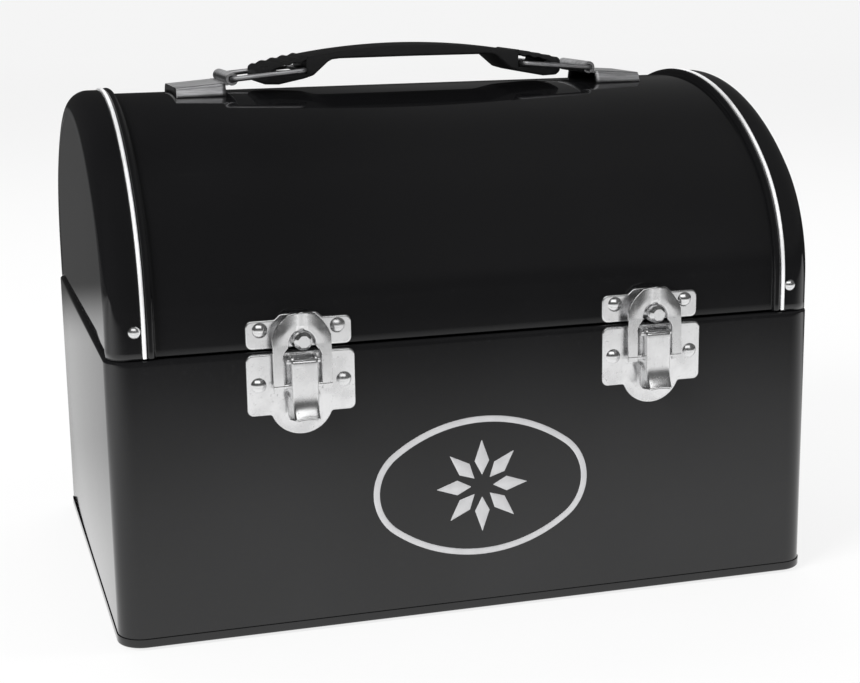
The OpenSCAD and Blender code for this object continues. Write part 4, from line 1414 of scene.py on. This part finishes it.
def backdrop(name, profile, look, hidden):
    """Stage surface, a profile of (r, z) turned about Z. The kinds of rays in hidden miss it."""
    points, faces = turned(profile, (0, 0, 0), (0, 0, 1), 48)
    mesh = bpy.data.meshes.new(name)
    mesh.from_pydata((points * MM).tolist(), [], faces[:-1])
    mesh.shade_smooth()
    mesh.materials.append(finish(look))
    obj = bpy.data.objects.new(name, mesh)
    for ray in hidden:
        setattr(obj, f"visible_{ray}", False)
    bpy.context.scene.collection.objects.link(obj)


class SetStage(bpy.types.Operator):
    """Set the floor, the soft lights and the camera"""

    bl_idname = "lunchbox.set_stage"
    bl_label = "Stage"

    def execute(self, context):
        scene = context.scene
        s = scene.lunch_box.stage
        floor_z, room_z, far, bend, wide = -1, -0.5, 3600, 1200, 2900
        sweep = [
            line((1, floor_z), (far, floor_z), count=12),
            arc(far, floor_z + bend, bend, -84, 0, 15),
            line((far + bend, 3 * bend)),
        ]
        backdrop("studio_sweep", np.concatenate(sweep), "floor", ("glossy",))
        room = [line((1, room_z), (wide, room_z), count=9), arc(0, room_z, wide, 3, 89.9, 15)]
        hidden = ("camera", "diffuse", "shadow", "transmission", "volume_scatter")
        backdrop("mirror_room", np.concatenate(room), "mirror", hidden)

        world = bpy.data.worlds.new("studio_room")
        world.use_nodes = True
        back = world.node_tree.nodes["Background"]
        back.inputs["Color"].default_value = (1, 1, 1, 1)
        back.inputs["Strength"].default_value = s.room
        scene.world = world
        for name, place, width, height, power in (
            ("key_left", (-1.25, -0.75, 0.95), 0.7, 0.7, s.key),
            ("top_back", (0.1, 0.75, 1.25), 1.2, 0.5, s.top),
            ("fill_right", (1.3, -0.3, 0.7), 0.5, 0.5, s.fill),
        ):
            soft_light(name, place, (0, 0, 0.1), width, height, power).visible_glossy = False
        plated, drawn = ("nickel",), ("wire", "bracket", "hinge")
        for name, place, width, height, power, looks in (
            ("metal_front", (-0.25, -1.25, 1.2), 1.9, 0.9, s.metal * 0.75, plated + drawn),
            ("metal_top", (-0.2, -0.3, 1.6), 1.2, 0.9, s.metal * 0.55, drawn),
            ("metal_back", (0.0, 1.6, 0.9), 1.8, 0.9, s.metal * 0.45, plated + drawn),
            ("metal_floor", (-0.1, -0.85, 0.01), 1.6, 1.15, s.metal * 0.40, plated + drawn),
        ):
            aim = (place[0], place[1], 1) if name == "metal_floor" else (0, 0, 0.1)
            lamp = soft_light(name, place, aim, width, height, power)
            lamp.visible_camera = False
            group = bpy.data.collections.new(f"{name}_pieces")
            for obj in scene.objects:
                if obj.type == "MESH" and obj.active_material in [finish(k) for k in looks]:
                    group.objects.link(obj)
            lamp.light_linking.receiver_collection = group
        scene.view_settings.view_transform = "Standard"

        yaw, pitch, roll = (math.radians(v) for v in (16.36, 12.43, -0.84))
        level = math.cos(pitch)
        ahead = Vector((math.sin(yaw) * level, math.cos(yaw) * level, -math.sin(pitch)))
        right = ahead.cross(Vector((0, 0, 1))).normalized()
        up = right.cross(ahead)
        side = math.cos(roll) * right + math.sin(roll) * up
        top = -math.sin(roll) * right + math.cos(roll) * up
        turn = Matrix((side, top, -ahead)).transposed()
        camera = bpy.data.cameras.new("camera")
        camera.sensor_width = 36
        camera.lens = 72.67
        camera.clip_start, camera.clip_end = 0.02, 50
        holder = bpy.data.objects.new("camera", camera)
        holder.matrix_world = Matrix.Translation((-0.1799, -0.6404, 0.2243)) @ turn.to_4x4()
        scene.collection.objects.link(holder)
        scene.camera = holder
        return {"FINISHED"}


# ---- add-on ----

STEPS = (MakeBody, MakeLid, MakeLatches, MakeRivets, MakeHandle, MakeBadge, DressHinge, SetStage)


class LunchBoxPanel(bpy.types.Panel):
    """Lists the steps that build the lunch box"""

    bl_idname = "VIEW3D_PT_lunch_box"
    bl_label = "Lunch Box"
    bl_space_type = "VIEW_3D"
    bl_region_type = "UI"
    bl_category = "Lunch Box"

    def draw(self, context):
        for step in STEPS:
            self.layout.operator(step.bl_idname)
        for group, kind in GROUPS.items():
            box = self.layout.box()
            for name in kind.__annotations__:
                box.prop(getattr(context.scene.lunch_box, group), name)


CLASSES = (*GROUPS.values(), LunchBoxSettings, *STEPS, LunchBoxPanel)


def register():
    for kind in CLASSES:
        bpy.utils.register_class(kind)
    bpy.types.Scene.lunch_box = PointerProperty(type=LunchBoxSettings)


def unregister():
    del bpy.types.Scene.lunch_box
    for kind in reversed(CLASSES):
        bpy.utils.unregister_class(kind)


def main():
    register()
    for step in STEPS:
        area, name = step.bl_idname.split(".")
        getattr(getattr(bpy.ops, area), name)()


if __name__ == "__main__":
    main()
